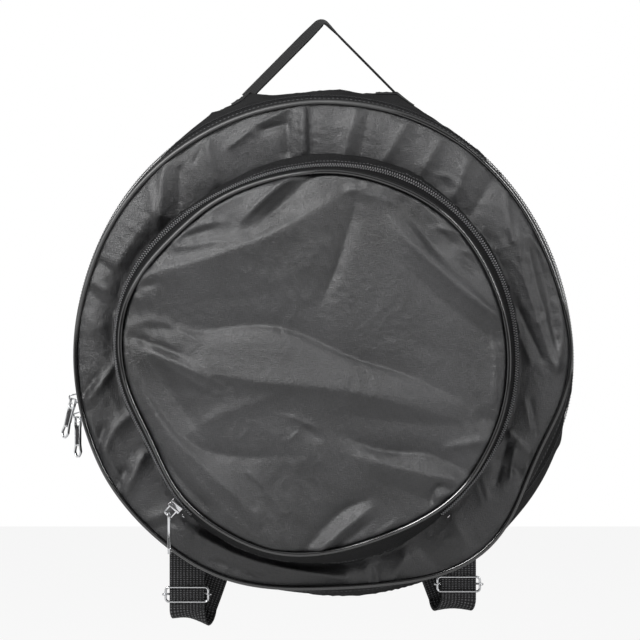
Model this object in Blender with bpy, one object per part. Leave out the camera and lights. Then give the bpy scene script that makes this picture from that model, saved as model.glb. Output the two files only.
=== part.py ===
# Soft round snare drum bag, hanging from its carry handle.
# Metres, +Z up. The front faces -Y and the origin is where a hook holds the handle.
# Every ring turns about an axis along Y. Ring angles count from +X towards +Z.

import math

import bmesh
import bpy
from mathutils import Matrix, Vector

MM = 0.001

# Clearances
GAP = 0.3 * MM  # between pieces that lie against each other
RUNNING_GAP = 0.4 * MM  # between pieces that slide on each other
WELD = 0.001 * MM

# Main shell
BAG_RADIUS = 200 * MM
BAG_DEPTH = 165 * MM
NYLON = 0.8 * MM
FOAM = 3.0 * MM
LINING = 0.6 * MM
PIPING_RADIUS = 2.0 * MM
RING_STEP = math.radians(6)
STEP_SLACK = 0.01  # share of a step that an arc may lack without another step
HINGE_HALF_ARC = math.radians(30)

# The padded gusset behind the zipper stands out, by these shares every 20 degrees round the ring
BELLY_RISE = 12 * MM
BELLY_SHARES = (
    0.25, 0.0, 0.0, 0.6, 0.75, 0.75, 0.65, 0.05, 0.0,
    0.1, 0.4, 0.75, 0.5, 0.25, 0.5, 1.0, 1.05, 0.75,
)
BELLY_FLAT = 14 * MM  # half the depth over which it stands out in full

# Main zipper
ZIP_SET_BACK = 24 * MM  # from the front face to the middle of the zipper
COIL_OUTER = 3.0 * MM  # from the middle of a zipper to the outer side of a coil
COIL_INNER = 0.8 * MM
COIL_PROUD = 0.4 * MM  # how far a coil stands above the nylon
COIL_THICK = 2.4 * MM
TAPE_SINK = 0.6 * MM  # how far a tape lies below the nylon
TAPE_WIDTH = 6.7 * MM

# Front pocket
POCKET_SHIFT_X = -5.6 * MM
POCKET_DROP = 11.2 * MM  # below the bag's axis
POCKET_BASE_RADIUS = 165 * MM
POCKET_ZIP_RADIUS = 160 * MM
POCKET_FRONT_RADIUS = 156.5 * MM  # outside of the pocket's piping
POCKET_DEPTH = 38 * MM
POCKET_ZIP_SET_BACK = 14.5 * MM
POCKET_TAPE_WIDTH = 4.7 * MM
POCKET_HINGE_HALF_ARC = math.radians(39)

# The slack pocket panel crowns and folds. Each fold has a path and a half width, in shares of the
# panel's radius, and a share of the rise.
POCKET_CROWN = 6 * MM
POCKET_FOLD_RISE = 5 * MM
POCKET_FOLD_SHARES = (
    (((-0.92, 0.32), (-0.36, 0.52), (0.13, 0.76)), 0.16, 0.9),
    (((-0.62, 0.58), (-0.30, 0.88)), 0.10, 0.6),
    (((-0.98, 0.24), (-0.13, 0.24), (0.85, -0.18)), 0.15, -0.9),
    (((-0.86, -0.02), (-0.08, -0.16), (0.84, -0.38)), 0.15, 1.0),
    (((0.15, -0.48), (0.48, -0.58), (0.80, -0.64)), 0.10, 0.5),
    (((0.36, 0.74), (0.64, 0.48), (0.92, 0.22)), 0.11, 0.9),
    (((-0.95, 0.02), (-0.72, -0.42), (-0.30, -0.82)), 0.13, 0.7),
    (((0.05, -0.95), (0.30, -0.74)), 0.10, 0.7),
)
POCKET_RING_SHARES = (0.84, 0.66, 0.46, 0.24)  # where the panel bends, in shares of its radius

# Sliders
SLIDER_LENGTH = 11 * MM
SLIDER_PLATE = 1.2 * MM
SLIDER_FLANGE = 1.0 * MM
SLIDER_POST = 1.0 * MM
BRIDGE_WIDTH = 1.6 * MM
BRIDGE_STRAP = 1.2 * MM
BRIDGE_HALF_LENGTH = 4.0 * MM
BRIDGE_RISE = 6.0 * MM  # from the plate to the underside of the bridge
UPPER_SLIDER_ANGLE = math.radians(192.0)
LOWER_SLIDER_ANGLE = math.radians(196.2)
POCKET_SLIDER_ANGLE = math.radians(226.0)

# Pulls
PULL_LENGTH = 33 * MM
PULL_THICK = 2.0 * MM
PULL_RIM = 1.2 * MM
PULL_EYE_WIDTH = 7.5 * MM
PULL_EYE_LENGTH = 7.5 * MM
PULL_NECK_WIDTH = 6.6 * MM
PULL_FOOT_WIDTH = 8.6 * MM
PULL_INSERT_LENGTH = 14 * MM
PULL_INSERT_PROUD = 0.2 * MM
MAIN_PULL_TWIST = math.radians(45)
UPPER_PULL_LEAN = math.radians(13.5)

# Metal stops at the zippers' ends
STOP_LENGTH = 2.4 * MM
STOP_WIDTH = 5.0 * MM
STOP_THICK = 0.8 * MM
STOP_INSET_ARC = math.radians(1.5)

# Carry handle
HANDLE_RISE = 64 * MM  # from the gusset's top up to the hook
HANDLE_FOOT_X = 57 * MM
HANDLE_WIDTH = 20 * MM
HANDLE_THICK = 1.8 * MM
HANDLE_FOLD_RADIUS = 5 * MM
HANDLE_LEFT_TWIST = math.radians(23)
HANDLE_RIGHT_TWIST = math.radians(4)
HANDLE_STEPS = 14
PATCH_THICK = 0.9 * MM
PATCH_HALF_ARC = math.radians(4.5)
PATCH_HALF_DEPTH = 13 * MM

# Backpack straps
WEBBING_WIDTH = 30 * MM
WEBBING_THICK = 1.5 * MM
STRAP_FOOT_X = 117 * MM
STRAP_TAB_LENGTH = 6.1 * MM  # below the gusset, along a tab's shorter edge
STRAP_SEAM_INSET = 2.5 * MM  # from the rear face to the middle of the webbing
STRAP_TURN_RADIUS = 9 * MM
STRAP_TURN_DRIFT = 10 * MM
STRAP_TOP_X = 50 * MM
STRAP_TOP_RISE = 118 * MM  # above the bag's axis
STRAP_STAND_OFF = 10.5 * MM
STRAP_BOW = 10 * MM
STRAP_CURVE_POWER = 2.3
STRAP_STEPS = 26
ROOT_LENGTH = 36 * MM
ROOT_FLARE = 14 * MM
LOOP_LENGTHS = {"left": 58.3 * MM, "right": 49.4 * MM}  # below the tabs
SIDE_SIGNS = {"left": -1, "right": 1}

# Strap buckles
ADJUSTER_RISE = 21.5 * MM  # from the loop's lowest point to the frame's middle
ADJUSTER_WIDTH = 38.5 * MM
ADJUSTER_HEIGHT = 14.5 * MM
ADJUSTER_WIRE = 1.0 * MM  # radius
ADJUSTER_CORNER = 3 * MM
BAR_WIRE = 0.9 * MM

# Derived places
FRONT_FACE = -BAG_DEPTH / 2
REAR_FACE = BAG_DEPTH / 2
ZIP_Y = FRONT_FACE + ZIP_SET_BACK
POCKET_FACE = FRONT_FACE - POCKET_DEPTH
POCKET_ZIP_Y = POCKET_FACE + POCKET_ZIP_SET_BACK
BAG_DROP = BAG_RADIUS + HANDLE_RISE  # from the hook down to the bag's axis
BAG_CENTRE = (0.0, -BAG_DROP)
POCKET_CENTRE = (POCKET_SHIFT_X, -BAG_DROP - POCKET_DROP)
PIPING_RING = BAG_RADIUS - PIPING_RADIUS
PIPING_INSET = PIPING_RADIUS / 2  # from a face to the middle of its piping
BAND_START = PIPING_INSET + PIPING_RADIUS + GAP  # from a face to its gusset strip
REAR_BAND_FRONT = ZIP_Y + COIL_OUTER + GAP + TAPE_WIDTH + GAP
REAR_BAND_END = REAR_FACE - BAND_START
FOAM_RADIUS = BAG_RADIUS - NYLON - GAP
LINING_RADIUS = FOAM_RADIUS - FOAM - GAP
ZIP_START = -math.pi / 2 + HINGE_HALF_ARC
ZIP_SWEEP = 2 * (math.pi - HINGE_HALF_ARC)
POCKET_ZIP_START = -math.pi / 2 + POCKET_HINGE_HALF_ARC
POCKET_ZIP_SWEEP = 2 * (math.pi - POCKET_HINGE_HALF_ARC)
PLATE_RISE = COIL_PROUD + RUNNING_GAP  # from the nylon to the underside of a slider
STRAP_SEAM_Y = REAR_FACE - STRAP_SEAM_INSET
TAB_TOP = math.sqrt((BAG_RADIUS + GAP) ** 2 - (STRAP_FOOT_X - WEBBING_WIDTH / 2) ** 2)
STRAP_FOOT_Z = -BAG_DROP - TAB_TOP - STRAP_TAB_LENGTH
STRAP_TOP_Z = -BAG_DROP + STRAP_TOP_RISE
STRAP_TOP_Y = REAR_FACE + STRAP_STAND_OFF


def clear_scene():
    for thing in list(bpy.data.objects):
        bpy.data.objects.remove(thing, do_unlink=True)


# Materials


def linear(channel):
    return channel / 12.92 if channel <= 0.04045 else ((channel + 0.055) / 1.055) ** 2.4


def make_material(name, red, green, blue, roughness, metallic=0.0):
    """A Principled material from an 8-bit sRGB colour."""
    made = bpy.data.materials.new(name)
    made.use_nodes = True
    shader = made.node_tree.nodes["Principled BSDF"]
    colour = [linear(channel / 255) for channel in (red, green, blue)]
    shader.inputs["Base Color"].default_value = (*colour, 1.0)
    shader.inputs["Roughness"].default_value = roughness
    shader.inputs["Metallic"].default_value = metallic
    made.diffuse_color = (*colour, 1.0)
    return made


def make_materials():
    return {
        "nylon": make_material("black_nylon", 62, 62, 64, 0.45),
        "lining": make_material("black_lining", 40, 40, 42, 0.6),
        "foam": make_material("grey_foam", 96, 96, 98, 0.9),
        "piping": make_material("black_piping", 44, 44, 46, 0.3),
        "tape": make_material("zipper_tape", 24, 24, 26, 0.8),
        "coil": make_material("zipper_coil", 30, 30, 32, 0.35),
        "webbing": make_material("black_webbing", 34, 34, 36, 0.7),
        "metal": make_material("nickel_plate", 198, 200, 202, 0.25, 1.0),
        "insert": make_material("black_rubber", 26, 26, 27, 0.5),
    }


# Mesh helpers


def finish(name, mesh, material, smooth=True):
    """Closes, orients and stores a bmesh as one named object."""
    bmesh.ops.remove_doubles(mesh, verts=mesh.verts, dist=WELD)
    bmesh.ops.recalc_face_normals(mesh, faces=mesh.faces)
    data = bpy.data.meshes.new(name)
    mesh.to_mesh(data)
    mesh.free()
    if smooth:
        data.shade_smooth()
        data.set_sharp_from_angle(angle=math.radians(35))
    data.materials.append(material)
    made = bpy.data.objects.new(name, data)
    bpy.context.scene.collection.objects.link(made)
    return made


def on_ring(centre, radius, angle, y):
    return Vector((centre[0] + radius * math.cos(angle), y, centre[1] + radius * math.sin(angle)))


def eased(share):
    """Starts and ends level between 0 and 1."""
    share = min(max(share, 0), 1)
    return share * share * (3 - 2 * share)


def belly(angle, y):
    """How far the rear gusset stands out from its ring at an angle and a depth."""
    if y < 0:
        depth = eased((y - REAR_BAND_FRONT) / (-BELLY_FLAT - REAR_BAND_FRONT))
    else:
        depth = eased((REAR_BAND_END - y) / (REAR_BAND_END - BELLY_FLAT))
    count = len(BELLY_SHARES)
    place = angle / (2 * math.pi) * count % count
    first = int(place) % count
    low, high = BELLY_SHARES[first], BELLY_SHARES[(first + 1) % count]
    return BELLY_RISE * depth * (low + (high - low) * eased(place - int(place)))


def turned(name, profile, centre, material, start=-math.pi / 2, sweep=2 * math.pi, swell=None):
    """Spins a profile of (radius, y) corners about a ring's axis, all the way or along an arc."""
    mesh = bmesh.new()
    corners = [mesh.verts.new(on_ring(centre, radius, start, y)) for radius, y in profile]
    edges = [mesh.edges.new((a, b)) for a, b in zip(corners, corners[1:] + corners[:1])]
    bmesh.ops.spin(
        mesh,
        geom=corners + edges,
        cent=(centre[0], 0, centre[1]),
        axis=(0, -1, 0),
        angle=sweep,
        steps=max(2, math.ceil(sweep / RING_STEP - STEP_SLACK)),
        use_duplicate=False,
    )
    bmesh.ops.remove_doubles(mesh, verts=mesh.verts, dist=WELD)
    bmesh.ops.holes_fill(mesh, edges=mesh.edges, sides=0)
    if swell:
        for corner in mesh.verts:
            out = Vector((corner.co.x - centre[0], 0, corner.co.z - centre[1]))
            corner.co += out.normalized() * swell(math.atan2(out.z, out.x), corner.co.y)
        # The layers bend along the same edges, so that they lie evenly on each other.
        bmesh.ops.triangulate(mesh, faces=mesh.faces[:], quad_method="SHORT_EDGE")
    return finish(name, mesh, material)


def disc(name, radius, y_front, thickness, centre, material):
    """A round panel, its corners in line with those of the rings."""
    mesh = bmesh.new()
    count = round(2 * math.pi / RING_STEP)
    rim = [
        mesh.verts.new(on_ring(centre, radius, -math.pi / 2 + 2 * math.pi * i / count, y_front))
        for i in range(count)
    ]
    face = mesh.faces.new(rim)
    pulled = bmesh.ops.extrude_face_region(mesh, geom=[face])["geom"]
    moved = [item for item in pulled if isinstance(item, bmesh.types.BMVert)]
    bmesh.ops.translate(mesh, verts=moved, vec=(0, thickness, 0))
    return finish(name, mesh, material)


def fold_height(across, up):
    """How far the slack panel stands out at a place given in shares of its radius."""
    height = POCKET_CROWN * (1 - across * across - up * up)
    place = Vector((across, up))
    for path, half_width, rise in POCKET_FOLD_SHARES:
        distance = math.inf
        for start, end in zip(path, path[1:]):
            run = Vector(end) - Vector(start)
            along = min(max((place - Vector(start)).dot(run) / run.length_squared, 0), 1)
            distance = min(distance, (place - Vector(start) - run * along).length)
        height += POCKET_FOLD_RISE * rise * math.exp(-((distance / half_width) ** 2))
    return height


def slack_panel(name, radius, y_front, thickness, centre, material):
    """A round panel of cloth that crowns and folds, level along its sewn rim."""
    mesh = bmesh.new()
    count = round(2 * math.pi / RING_STEP)
    start = -math.pi / 2
    rim = [
        mesh.verts.new(on_ring(centre, radius, start + 2 * math.pi * i / count, y_front))
        for i in range(count)
    ]
    half = count // 2
    rings = []
    for share in POCKET_RING_SHARES:
        ring = []
        for i in range(half):
            angle = start + 2 * math.pi * i / half
            height = max(fold_height(share * math.cos(angle), share * math.sin(angle)), 0)
            ring.append(mesh.verts.new(on_ring(centre, radius * share, angle, y_front - height)))
        rings.append(ring)
    middle = mesh.verts.new((centre[0], y_front - fold_height(0, 0), centre[1]))
    for i in range(half):
        after = (i + 1) % half
        near, far = rings[0][i], rings[0][after]
        between = rim[2 * i + 1]
        mesh.faces.new((near, rim[2 * i], between))
        mesh.faces.new((near, between, far))
        mesh.faces.new((far, between, rim[2 * after]))
        for outer, inner in zip(rings, rings[1:]):
            mesh.faces.new((outer[i], outer[after], inner[after]))
            mesh.faces.new((outer[i], inner[after], inner[i]))
        mesh.faces.new((rings[-1][i], rings[-1][after], middle))
    pulled = bmesh.ops.extrude_face_region(mesh, geom=mesh.faces[:])["geom"]
    moved = [item for item in pulled if isinstance(item, bmesh.types.BMVert)]
    bmesh.ops.translate(mesh, verts=moved, vec=(0, thickness, 0))
    return finish(name, mesh, material)


def strip(radius, thickness, y_start, y_end):
    """The profile of a band with its outside at radius."""
    return [
        (radius - thickness, y_start),
        (radius, y_start),
        (radius, y_end),
        (radius - thickness, y_end),
    ]


def stepped_strip(radius, thickness, depths):
    """The profile of a band with a corner at each depth, so that it can swell between them."""
    outside = [(radius, y) for y in depths]
    return outside + [(radius - thickness, y) for y in reversed(depths)]


def slope(radius_a, y_a, radius_b, y_b, thickness):
    """The profile of a sloping band."""
    return [(radius_a - thickness, y_a), (radius_a, y_a), (radius_b, y_b), (radius_b - thickness, y_b)]


def cord_profile(ring_radius, y, radius, sides=6):
    """The profile of a round cord, a corner at its outermost point."""
    angles = [2 * math.pi * i / sides for i in range(sides)]
    return [(ring_radius + radius * math.cos(a), y + radius * math.sin(a)) for a in angles]


def prism(name, outline, along, material, smooth=False):
    """Extrudes a closed outline of points by a vector."""
    mesh = bmesh.new()
    face = mesh.faces.new([mesh.verts.new(point) for point in outline])
    pulled = bmesh.ops.extrude_face_region(mesh, geom=[face])["geom"]
    moved = [item for item in pulled if isinstance(item, bmesh.types.BMVert)]
    bmesh.ops.translate(mesh, verts=moved, vec=along)
    return finish(name, mesh, material, smooth)


def ribbon(name, sections, thickness, material):
    """Skins flat sections, each a centre, a direction across, a normal and a half width."""
    mesh = bmesh.new()
    rings = []
    for centre, across, normal, half_width in sections:
        side = across * half_width
        up = normal * thickness / 2
        ring = (centre - side - up, centre + side - up, centre + side + up, centre - side + up)
        rings.append([mesh.verts.new(point) for point in ring])
    for lower, upper in zip(rings, rings[1:]):
        for i in range(len(lower)):
            after = (i + 1) % len(lower)
            mesh.faces.new((lower[i], lower[after], upper[after], upper[i]))
    mesh.faces.new(rings[0])
    mesh.faces.new(list(reversed(rings[-1])))
    return finish(name, mesh, material)


def sections_along(points, across_hint, half_widths, twists=None):
    """Sections square to a path, their width as near across_hint as they can be."""
    sections = []
    for i, point in enumerate(points):
        before = points[max(i - 1, 0)]
        after = points[min(i + 1, len(points) - 1)]
        ahead = (after - before).normalized()
        across = (across_hint - ahead * across_hint.dot(ahead)).normalized()
        if twists:
            across = Matrix.Rotation(twists[i], 3, ahead) @ across
        sections.append((point, across, ahead.cross(across), half_widths[i]))
    return sections


def tube(name, points, radius, material, closed):
    """A round wire along points."""
    data = bpy.data.curves.new(name, "CURVE")
    data.dimensions = "3D"
    data.bevel_depth = radius
    data.bevel_resolution = 1
    data.use_fill_caps = True
    data.render_resolution_u = 0
    line = data.splines.new("POLY")
    line.points.add(len(points) - 1)
    for spot, point in zip(line.points, points):
        spot.co = (*point, 1.0)
    line.use_cyclic_u = closed
    data.materials.append(material)
    made = bpy.data.objects.new(name, data)
    bpy.context.scene.collection.objects.link(made)
    return made


def joint_empty(name, place, parent=None):
    """An empty on a joint's axis, which carries the pieces of a moving body."""
    made = bpy.data.objects.new(name, None)
    made.empty_display_size = PIPING_RADIUS
    bpy.context.scene.collection.objects.link(made)
    made.matrix_world = Matrix.Translation(place)
    if parent:
        attach(parent, [made])
    return made


def attach(parent, pieces):
    """Parents pieces to a carrier and leaves them where they are."""
    bpy.context.view_layer.update()
    for piece in pieces:
        piece.parent = parent
        piece.matrix_parent_inverse = parent.matrix_world.inverted()


# Shell pieces


def panel_stack(prefix, face, inward, materials):
    """Nylon, foam and lining of a round panel. Inward is the side of the face that they lie on."""
    pieces = []
    depth = 0
    layers = (("", NYLON, "nylon"), ("_foam", FOAM, "foam"), ("_lining", LINING, "lining"))
    for suffix, thickness, slot in layers:
        radius = LINING_RADIUS
        if suffix == "_lining":
            radius = LINING_RADIUS - LINING - GAP
        near = face + inward * depth
        start = near if inward > 0 else near - thickness
        pieces.append(
            disc("%s_panel%s" % (prefix, suffix), radius, start, thickness, BAG_CENTRE, materials[slot])
        )
        depth += thickness + GAP
    return pieces


def make_rear_shell(materials):
    pieces = panel_stack("rear", REAR_FACE, -1, materials)
    pieces.append(
        turned(
            "rear_piping",
            cord_profile(PIPING_RING, REAR_FACE - PIPING_INSET, PIPING_RADIUS),
            BAG_CENTRE,
            materials["piping"],
        )
    )
    lining_end = REAR_FACE - NYLON - GAP - FOAM - GAP
    layers = (
        ("rear_band", BAG_RADIUS, NYLON, REAR_BAND_END, "nylon"),
        ("rear_band_foam", FOAM_RADIUS, FOAM, REAR_BAND_END, "foam"),
        ("rear_band_lining", LINING_RADIUS, LINING, lining_end, "lining"),
    )
    for name, radius, thickness, end, slot in layers:
        front_slope = (REAR_BAND_FRONT - BELLY_FLAT) / 2
        rear_slope = (REAR_BAND_END + BELLY_FLAT) / 2
        depths = (REAR_BAND_FRONT, front_slope, -BELLY_FLAT, BELLY_FLAT, rear_slope, end)
        profile = stepped_strip(radius, thickness, depths)
        pieces.append(turned(name, profile, BAG_CENTRE, materials[slot], swell=belly))
    return pieces


def zipper_half(prefix, suffix, centre, radius, zip_y, side, tape_width, start, sweep, materials):
    """The tape and coil of one half of a zipper. Side is -1 for the front half and 1 for the rear."""
    coil_top = radius + COIL_PROUD
    tape_top = radius - TAPE_SINK
    coil_near = zip_y + side * COIL_INNER
    coil_far = zip_y + side * COIL_OUTER
    tape_near = coil_far + side * GAP
    tape_far = tape_near + side * tape_width
    return [
        turned(
            "%szip_tape_%s" % (prefix, suffix),
            strip(tape_top, NYLON, tape_near, tape_far),
            centre,
            materials["tape"],
            start,
            sweep,
        ),
        turned(
            "%szip_coil_%s" % (prefix, suffix),
            strip(coil_top, COIL_THICK, coil_near, coil_far),
            centre,
            materials["coil"],
            start,
            sweep,
        ),
    ]


def hinge_band(name, centre, radius, zip_y, side, tape_width, half_arc, material):
    """The cloth between a zipper's ends, one half of the cloth hinge."""
    near = zip_y + side * GAP / 2
    far = zip_y + side * (COIL_OUTER + GAP + tape_width)
    profile = strip(radius, NYLON, near, far)
    return turned(name, profile, centre, material, -math.pi / 2 - half_arc, 2 * half_arc)


def zip_stop(name, centre, radius, zip_y, angle, material):
    """A flat metal stop on the rear coil, beside a zipper's end."""
    half = STOP_LENGTH / 2 / radius
    bottom = radius + COIL_PROUD + GAP
    y_start = zip_y + COIL_INNER
    profile = strip(bottom + STOP_THICK, STOP_THICK, y_start, y_start + STOP_WIDTH)
    return turned(name, profile, centre, material, angle - half, 2 * half)


def make_rear_zipper(materials):
    pieces = zipper_half(
        "", "rear", BAG_CENTRE, BAG_RADIUS, ZIP_Y, 1, TAPE_WIDTH, ZIP_START, ZIP_SWEEP, materials
    )
    pieces.append(
        hinge_band(
            "hinge_band_rear",
            BAG_CENTRE,
            BAG_RADIUS,
            ZIP_Y,
            1,
            TAPE_WIDTH,
            HINGE_HALF_ARC,
            materials["nylon"],
        )
    )
    ends = (("left", ZIP_START + ZIP_SWEEP - STOP_INSET_ARC), ("right", ZIP_START + STOP_INSET_ARC))
    for side, angle in ends:
        pieces.append(
            zip_stop("zip_stop_" + side, BAG_CENTRE, BAG_RADIUS, ZIP_Y, angle, materials["metal"])
        )
    return pieces


def make_front_shell(materials):
    band_start = FRONT_FACE + BAND_START
    band_end = ZIP_Y - COIL_OUTER - GAP - TAPE_WIDTH - GAP
    pieces = panel_stack("front", FRONT_FACE, 1, materials)
    pieces.append(
        turned(
            "front_piping",
            cord_profile(PIPING_RING, FRONT_FACE + PIPING_INSET, PIPING_RADIUS),
            BAG_CENTRE,
            materials["piping"],
        )
    )
    layers = (
        ("front_band", BAG_RADIUS, NYLON, "nylon"),
        ("front_band_foam", FOAM_RADIUS, FOAM, "foam"),
    )
    for name, radius, thickness, slot in layers:
        profile = strip(radius, thickness, band_start, band_end)
        pieces.append(turned(name, profile, BAG_CENTRE, materials[slot]))
    pieces += zipper_half(
        "", "front", BAG_CENTRE, BAG_RADIUS, ZIP_Y, -1, TAPE_WIDTH, ZIP_START, ZIP_SWEEP, materials
    )
    pieces.append(
        hinge_band(
            "hinge_band_front",
            BAG_CENTRE,
            BAG_RADIUS,
            ZIP_Y,
            -1,
            TAPE_WIDTH,
            HINGE_HALF_ARC,
            materials["nylon"],
        )
    )
    return pieces


def make_pocket_base(materials):
    """The half of the pocket that stays on the front cover."""
    base_y = FRONT_FACE - GAP
    top_y = POCKET_ZIP_Y + COIL_OUTER + GAP + POCKET_TAPE_WIDTH + GAP
    profile = slope(POCKET_BASE_RADIUS, base_y, POCKET_ZIP_RADIUS, top_y, NYLON)
    pieces = [turned("pocket_rear_band", profile, POCKET_CENTRE, materials["nylon"])]
    pieces += zipper_half(
        "pocket_",
        "rear",
        POCKET_CENTRE,
        POCKET_ZIP_RADIUS,
        POCKET_ZIP_Y,
        1,
        POCKET_TAPE_WIDTH,
        POCKET_ZIP_START,
        POCKET_ZIP_SWEEP,
        materials,
    )
    pieces.append(
        hinge_band(
            "pocket_hinge_band_rear",
            POCKET_CENTRE,
            POCKET_ZIP_RADIUS,
            POCKET_ZIP_Y,
            1,
            POCKET_TAPE_WIDTH,
            POCKET_HINGE_HALF_ARC,
            materials["nylon"],
        )
    )
    ends = (
        ("left", POCKET_ZIP_START + POCKET_ZIP_SWEEP - STOP_INSET_ARC),
        ("right", POCKET_ZIP_START + STOP_INSET_ARC),
    )
    for side, angle in ends:
        name = "pocket_zip_stop_" + side
        pieces.append(
            zip_stop(name, POCKET_CENTRE, POCKET_ZIP_RADIUS, POCKET_ZIP_Y, angle, materials["metal"])
        )
    return pieces


def make_pocket_flap(materials):
    """The half of the pocket that opens."""
    ring = POCKET_FRONT_RADIUS - PIPING_RADIUS
    piping_y = POCKET_FACE + PIPING_INSET
    band_back = POCKET_ZIP_Y - COIL_OUTER - GAP - POCKET_TAPE_WIDTH - GAP
    band_front = POCKET_FACE + BAND_START
    profile = slope(POCKET_FRONT_RADIUS, band_front, POCKET_ZIP_RADIUS, band_back, NYLON)
    pieces = [
        slack_panel(
            "pocket_panel",
            ring - PIPING_RADIUS - GAP,
            POCKET_FACE,
            NYLON,
            POCKET_CENTRE,
            materials["nylon"],
        ),
        turned(
            "pocket_piping",
            cord_profile(ring, piping_y, PIPING_RADIUS),
            POCKET_CENTRE,
            materials["piping"],
        ),
        turned("pocket_front_band", profile, POCKET_CENTRE, materials["nylon"]),
    ]
    pieces += zipper_half(
        "pocket_",
        "front",
        POCKET_CENTRE,
        POCKET_ZIP_RADIUS,
        POCKET_ZIP_Y,
        -1,
        POCKET_TAPE_WIDTH,
        POCKET_ZIP_START,
        POCKET_ZIP_SWEEP,
        materials,
    )
    pieces.append(
        hinge_band(
            "pocket_hinge_band_front",
            POCKET_CENTRE,
            POCKET_ZIP_RADIUS,
            POCKET_ZIP_Y,
            -1,
            POCKET_TAPE_WIDTH,
            POCKET_HINGE_HALF_ARC,
            materials["nylon"],
        )
    )
    return pieces


# Sliders and pulls


def slider_profile(nylon_radius):
    """The cross-section of a slider at the top of its ring: two flanged plates on a post."""
    half = COIL_OUTER + RUNNING_GAP + SLIDER_FLANGE
    inside = COIL_OUTER + RUNNING_GAP
    post = SLIDER_POST / 2
    under = nylon_radius + PLATE_RISE
    top = under + SLIDER_PLATE
    lip = nylon_radius - TAPE_SINK + RUNNING_GAP
    floor = nylon_radius + COIL_PROUD - COIL_THICK - 2 * GAP
    low_lip = floor + 2 * GAP
    bottom = floor - SLIDER_PLATE
    right_side = [
        (half, bottom),
        (half, low_lip),
        (inside, low_lip),
        (inside, floor),
        (post, floor),
        (post, under),
        (inside, under),
        (inside, lip),
        (half, lip),
        (half, top),
    ]
    left_side = [(-y, radius) for y, radius in reversed(right_side)]
    return right_side + left_side, top


def make_slider(name, centre, nylon_radius, zip_y, angle, materials):
    """A slider with a bridge for its pull, turned about the ring from the top to its angle."""
    profile, top = slider_profile(nylon_radius)
    half = SLIDER_LENGTH / 2
    outline = [Vector((-half, zip_y + y, radius)) for y, radius in profile]
    body = prism(name, outline, (SLIDER_LENGTH, 0, 0), materials["metal"])
    reach = BRIDGE_HALF_LENGTH
    inner = reach - BRIDGE_STRAP
    roof = top + BRIDGE_RISE
    foot = top - SLIDER_PLATE / 2
    y = zip_y - BRIDGE_WIDTH / 2
    arch = [
        Vector((-reach, y, foot)),
        Vector((-reach, y, roof)),
        Vector((-inner, y, roof + BRIDGE_STRAP)),
        Vector((inner, y, roof + BRIDGE_STRAP)),
        Vector((reach, y, roof)),
        Vector((reach, y, foot)),
        Vector((inner, y, foot)),
        Vector((inner, y, roof)),
        Vector((-inner, y, roof)),
        Vector((-inner, y, foot)),
    ]
    bridge = prism(name + "_bridge", arch, (0, BRIDGE_WIDTH, 0), materials["metal"])
    bridge.hide_render = True
    bridge.display_type = "WIRE"
    placed = Matrix.Translation((centre[0], 0, centre[1])) @ Matrix.Rotation(
        math.pi / 2 - angle, 4, "Y"
    )
    for piece in (body, bridge):
        piece.matrix_world = placed
    union = body.modifiers.new("bridge", "BOOLEAN")
    union.operation = "UNION"
    union.object = bridge
    return body


def mirrored(points):
    """A closed outline from the points of its +X side, listed from top to bottom."""
    return points + [(-x, y) for x, y in reversed(points) if x > WELD]


def flat_cut(name, outlines, thickness, material):
    """A flat plate from an outline and the outlines of its holes."""
    data = bpy.data.curves.new(name, "CURVE")
    data.dimensions = "2D"
    data.fill_mode = "BOTH"
    data.extrude = thickness / 2
    data.render_resolution_u = 0
    for outline in outlines:
        line = data.splines.new("POLY")
        line.points.add(len(outline) - 1)
        for spot, (x, y) in zip(line.points, outline):
            spot.co = (x, y, 0, 1)
        line.use_cyclic_u = True
    data.materials.append(material)
    made = bpy.data.objects.new(name, data)
    bpy.context.scene.collection.objects.link(made)
    return made


def pull_outlines():
    """Outline, eye, window and end hole of a pull. Its eye's bar lies on the local X axis."""
    rim = PULL_RIM
    top = rim / 2
    eye_end = top - rim - PULL_EYE_LENGTH + 2 * rim
    window_top = top - PULL_EYE_LENGTH - rim
    window_end = window_top - PULL_INSERT_LENGTH
    foot = top - PULL_LENGTH
    ring_top = window_end - rim
    ring_side = (ring_top + foot) / 2
    eye = PULL_EYE_WIDTH / 2
    neck = PULL_NECK_WIDTH / 2
    wide = PULL_FOOT_WIDTH / 2
    tip = wide / 2
    outer = [
        (eye - rim, top),
        (eye, top - rim),
        (eye, window_top + rim),
        (neck, window_top),
        (neck, window_end),
        (wide, ring_side),
        (wide - rim, foot + tip),
        (tip / 2, foot),
    ]
    eye_hole = [(eye - rim, top - rim), (eye - rim, eye_end), (rim, window_top + rim)]
    window = [(neck - rim, window_top), (neck - rim, window_end)]
    end_hole = [
        (neck - rim, ring_top),
        (wide - rim, ring_side),
        (wide - 2 * rim, foot + tip),
        (tip / 2, foot + rim),
    ]
    return mirrored(outer), mirrored(eye_hole), mirrored(window), mirrored(end_hole)


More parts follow.
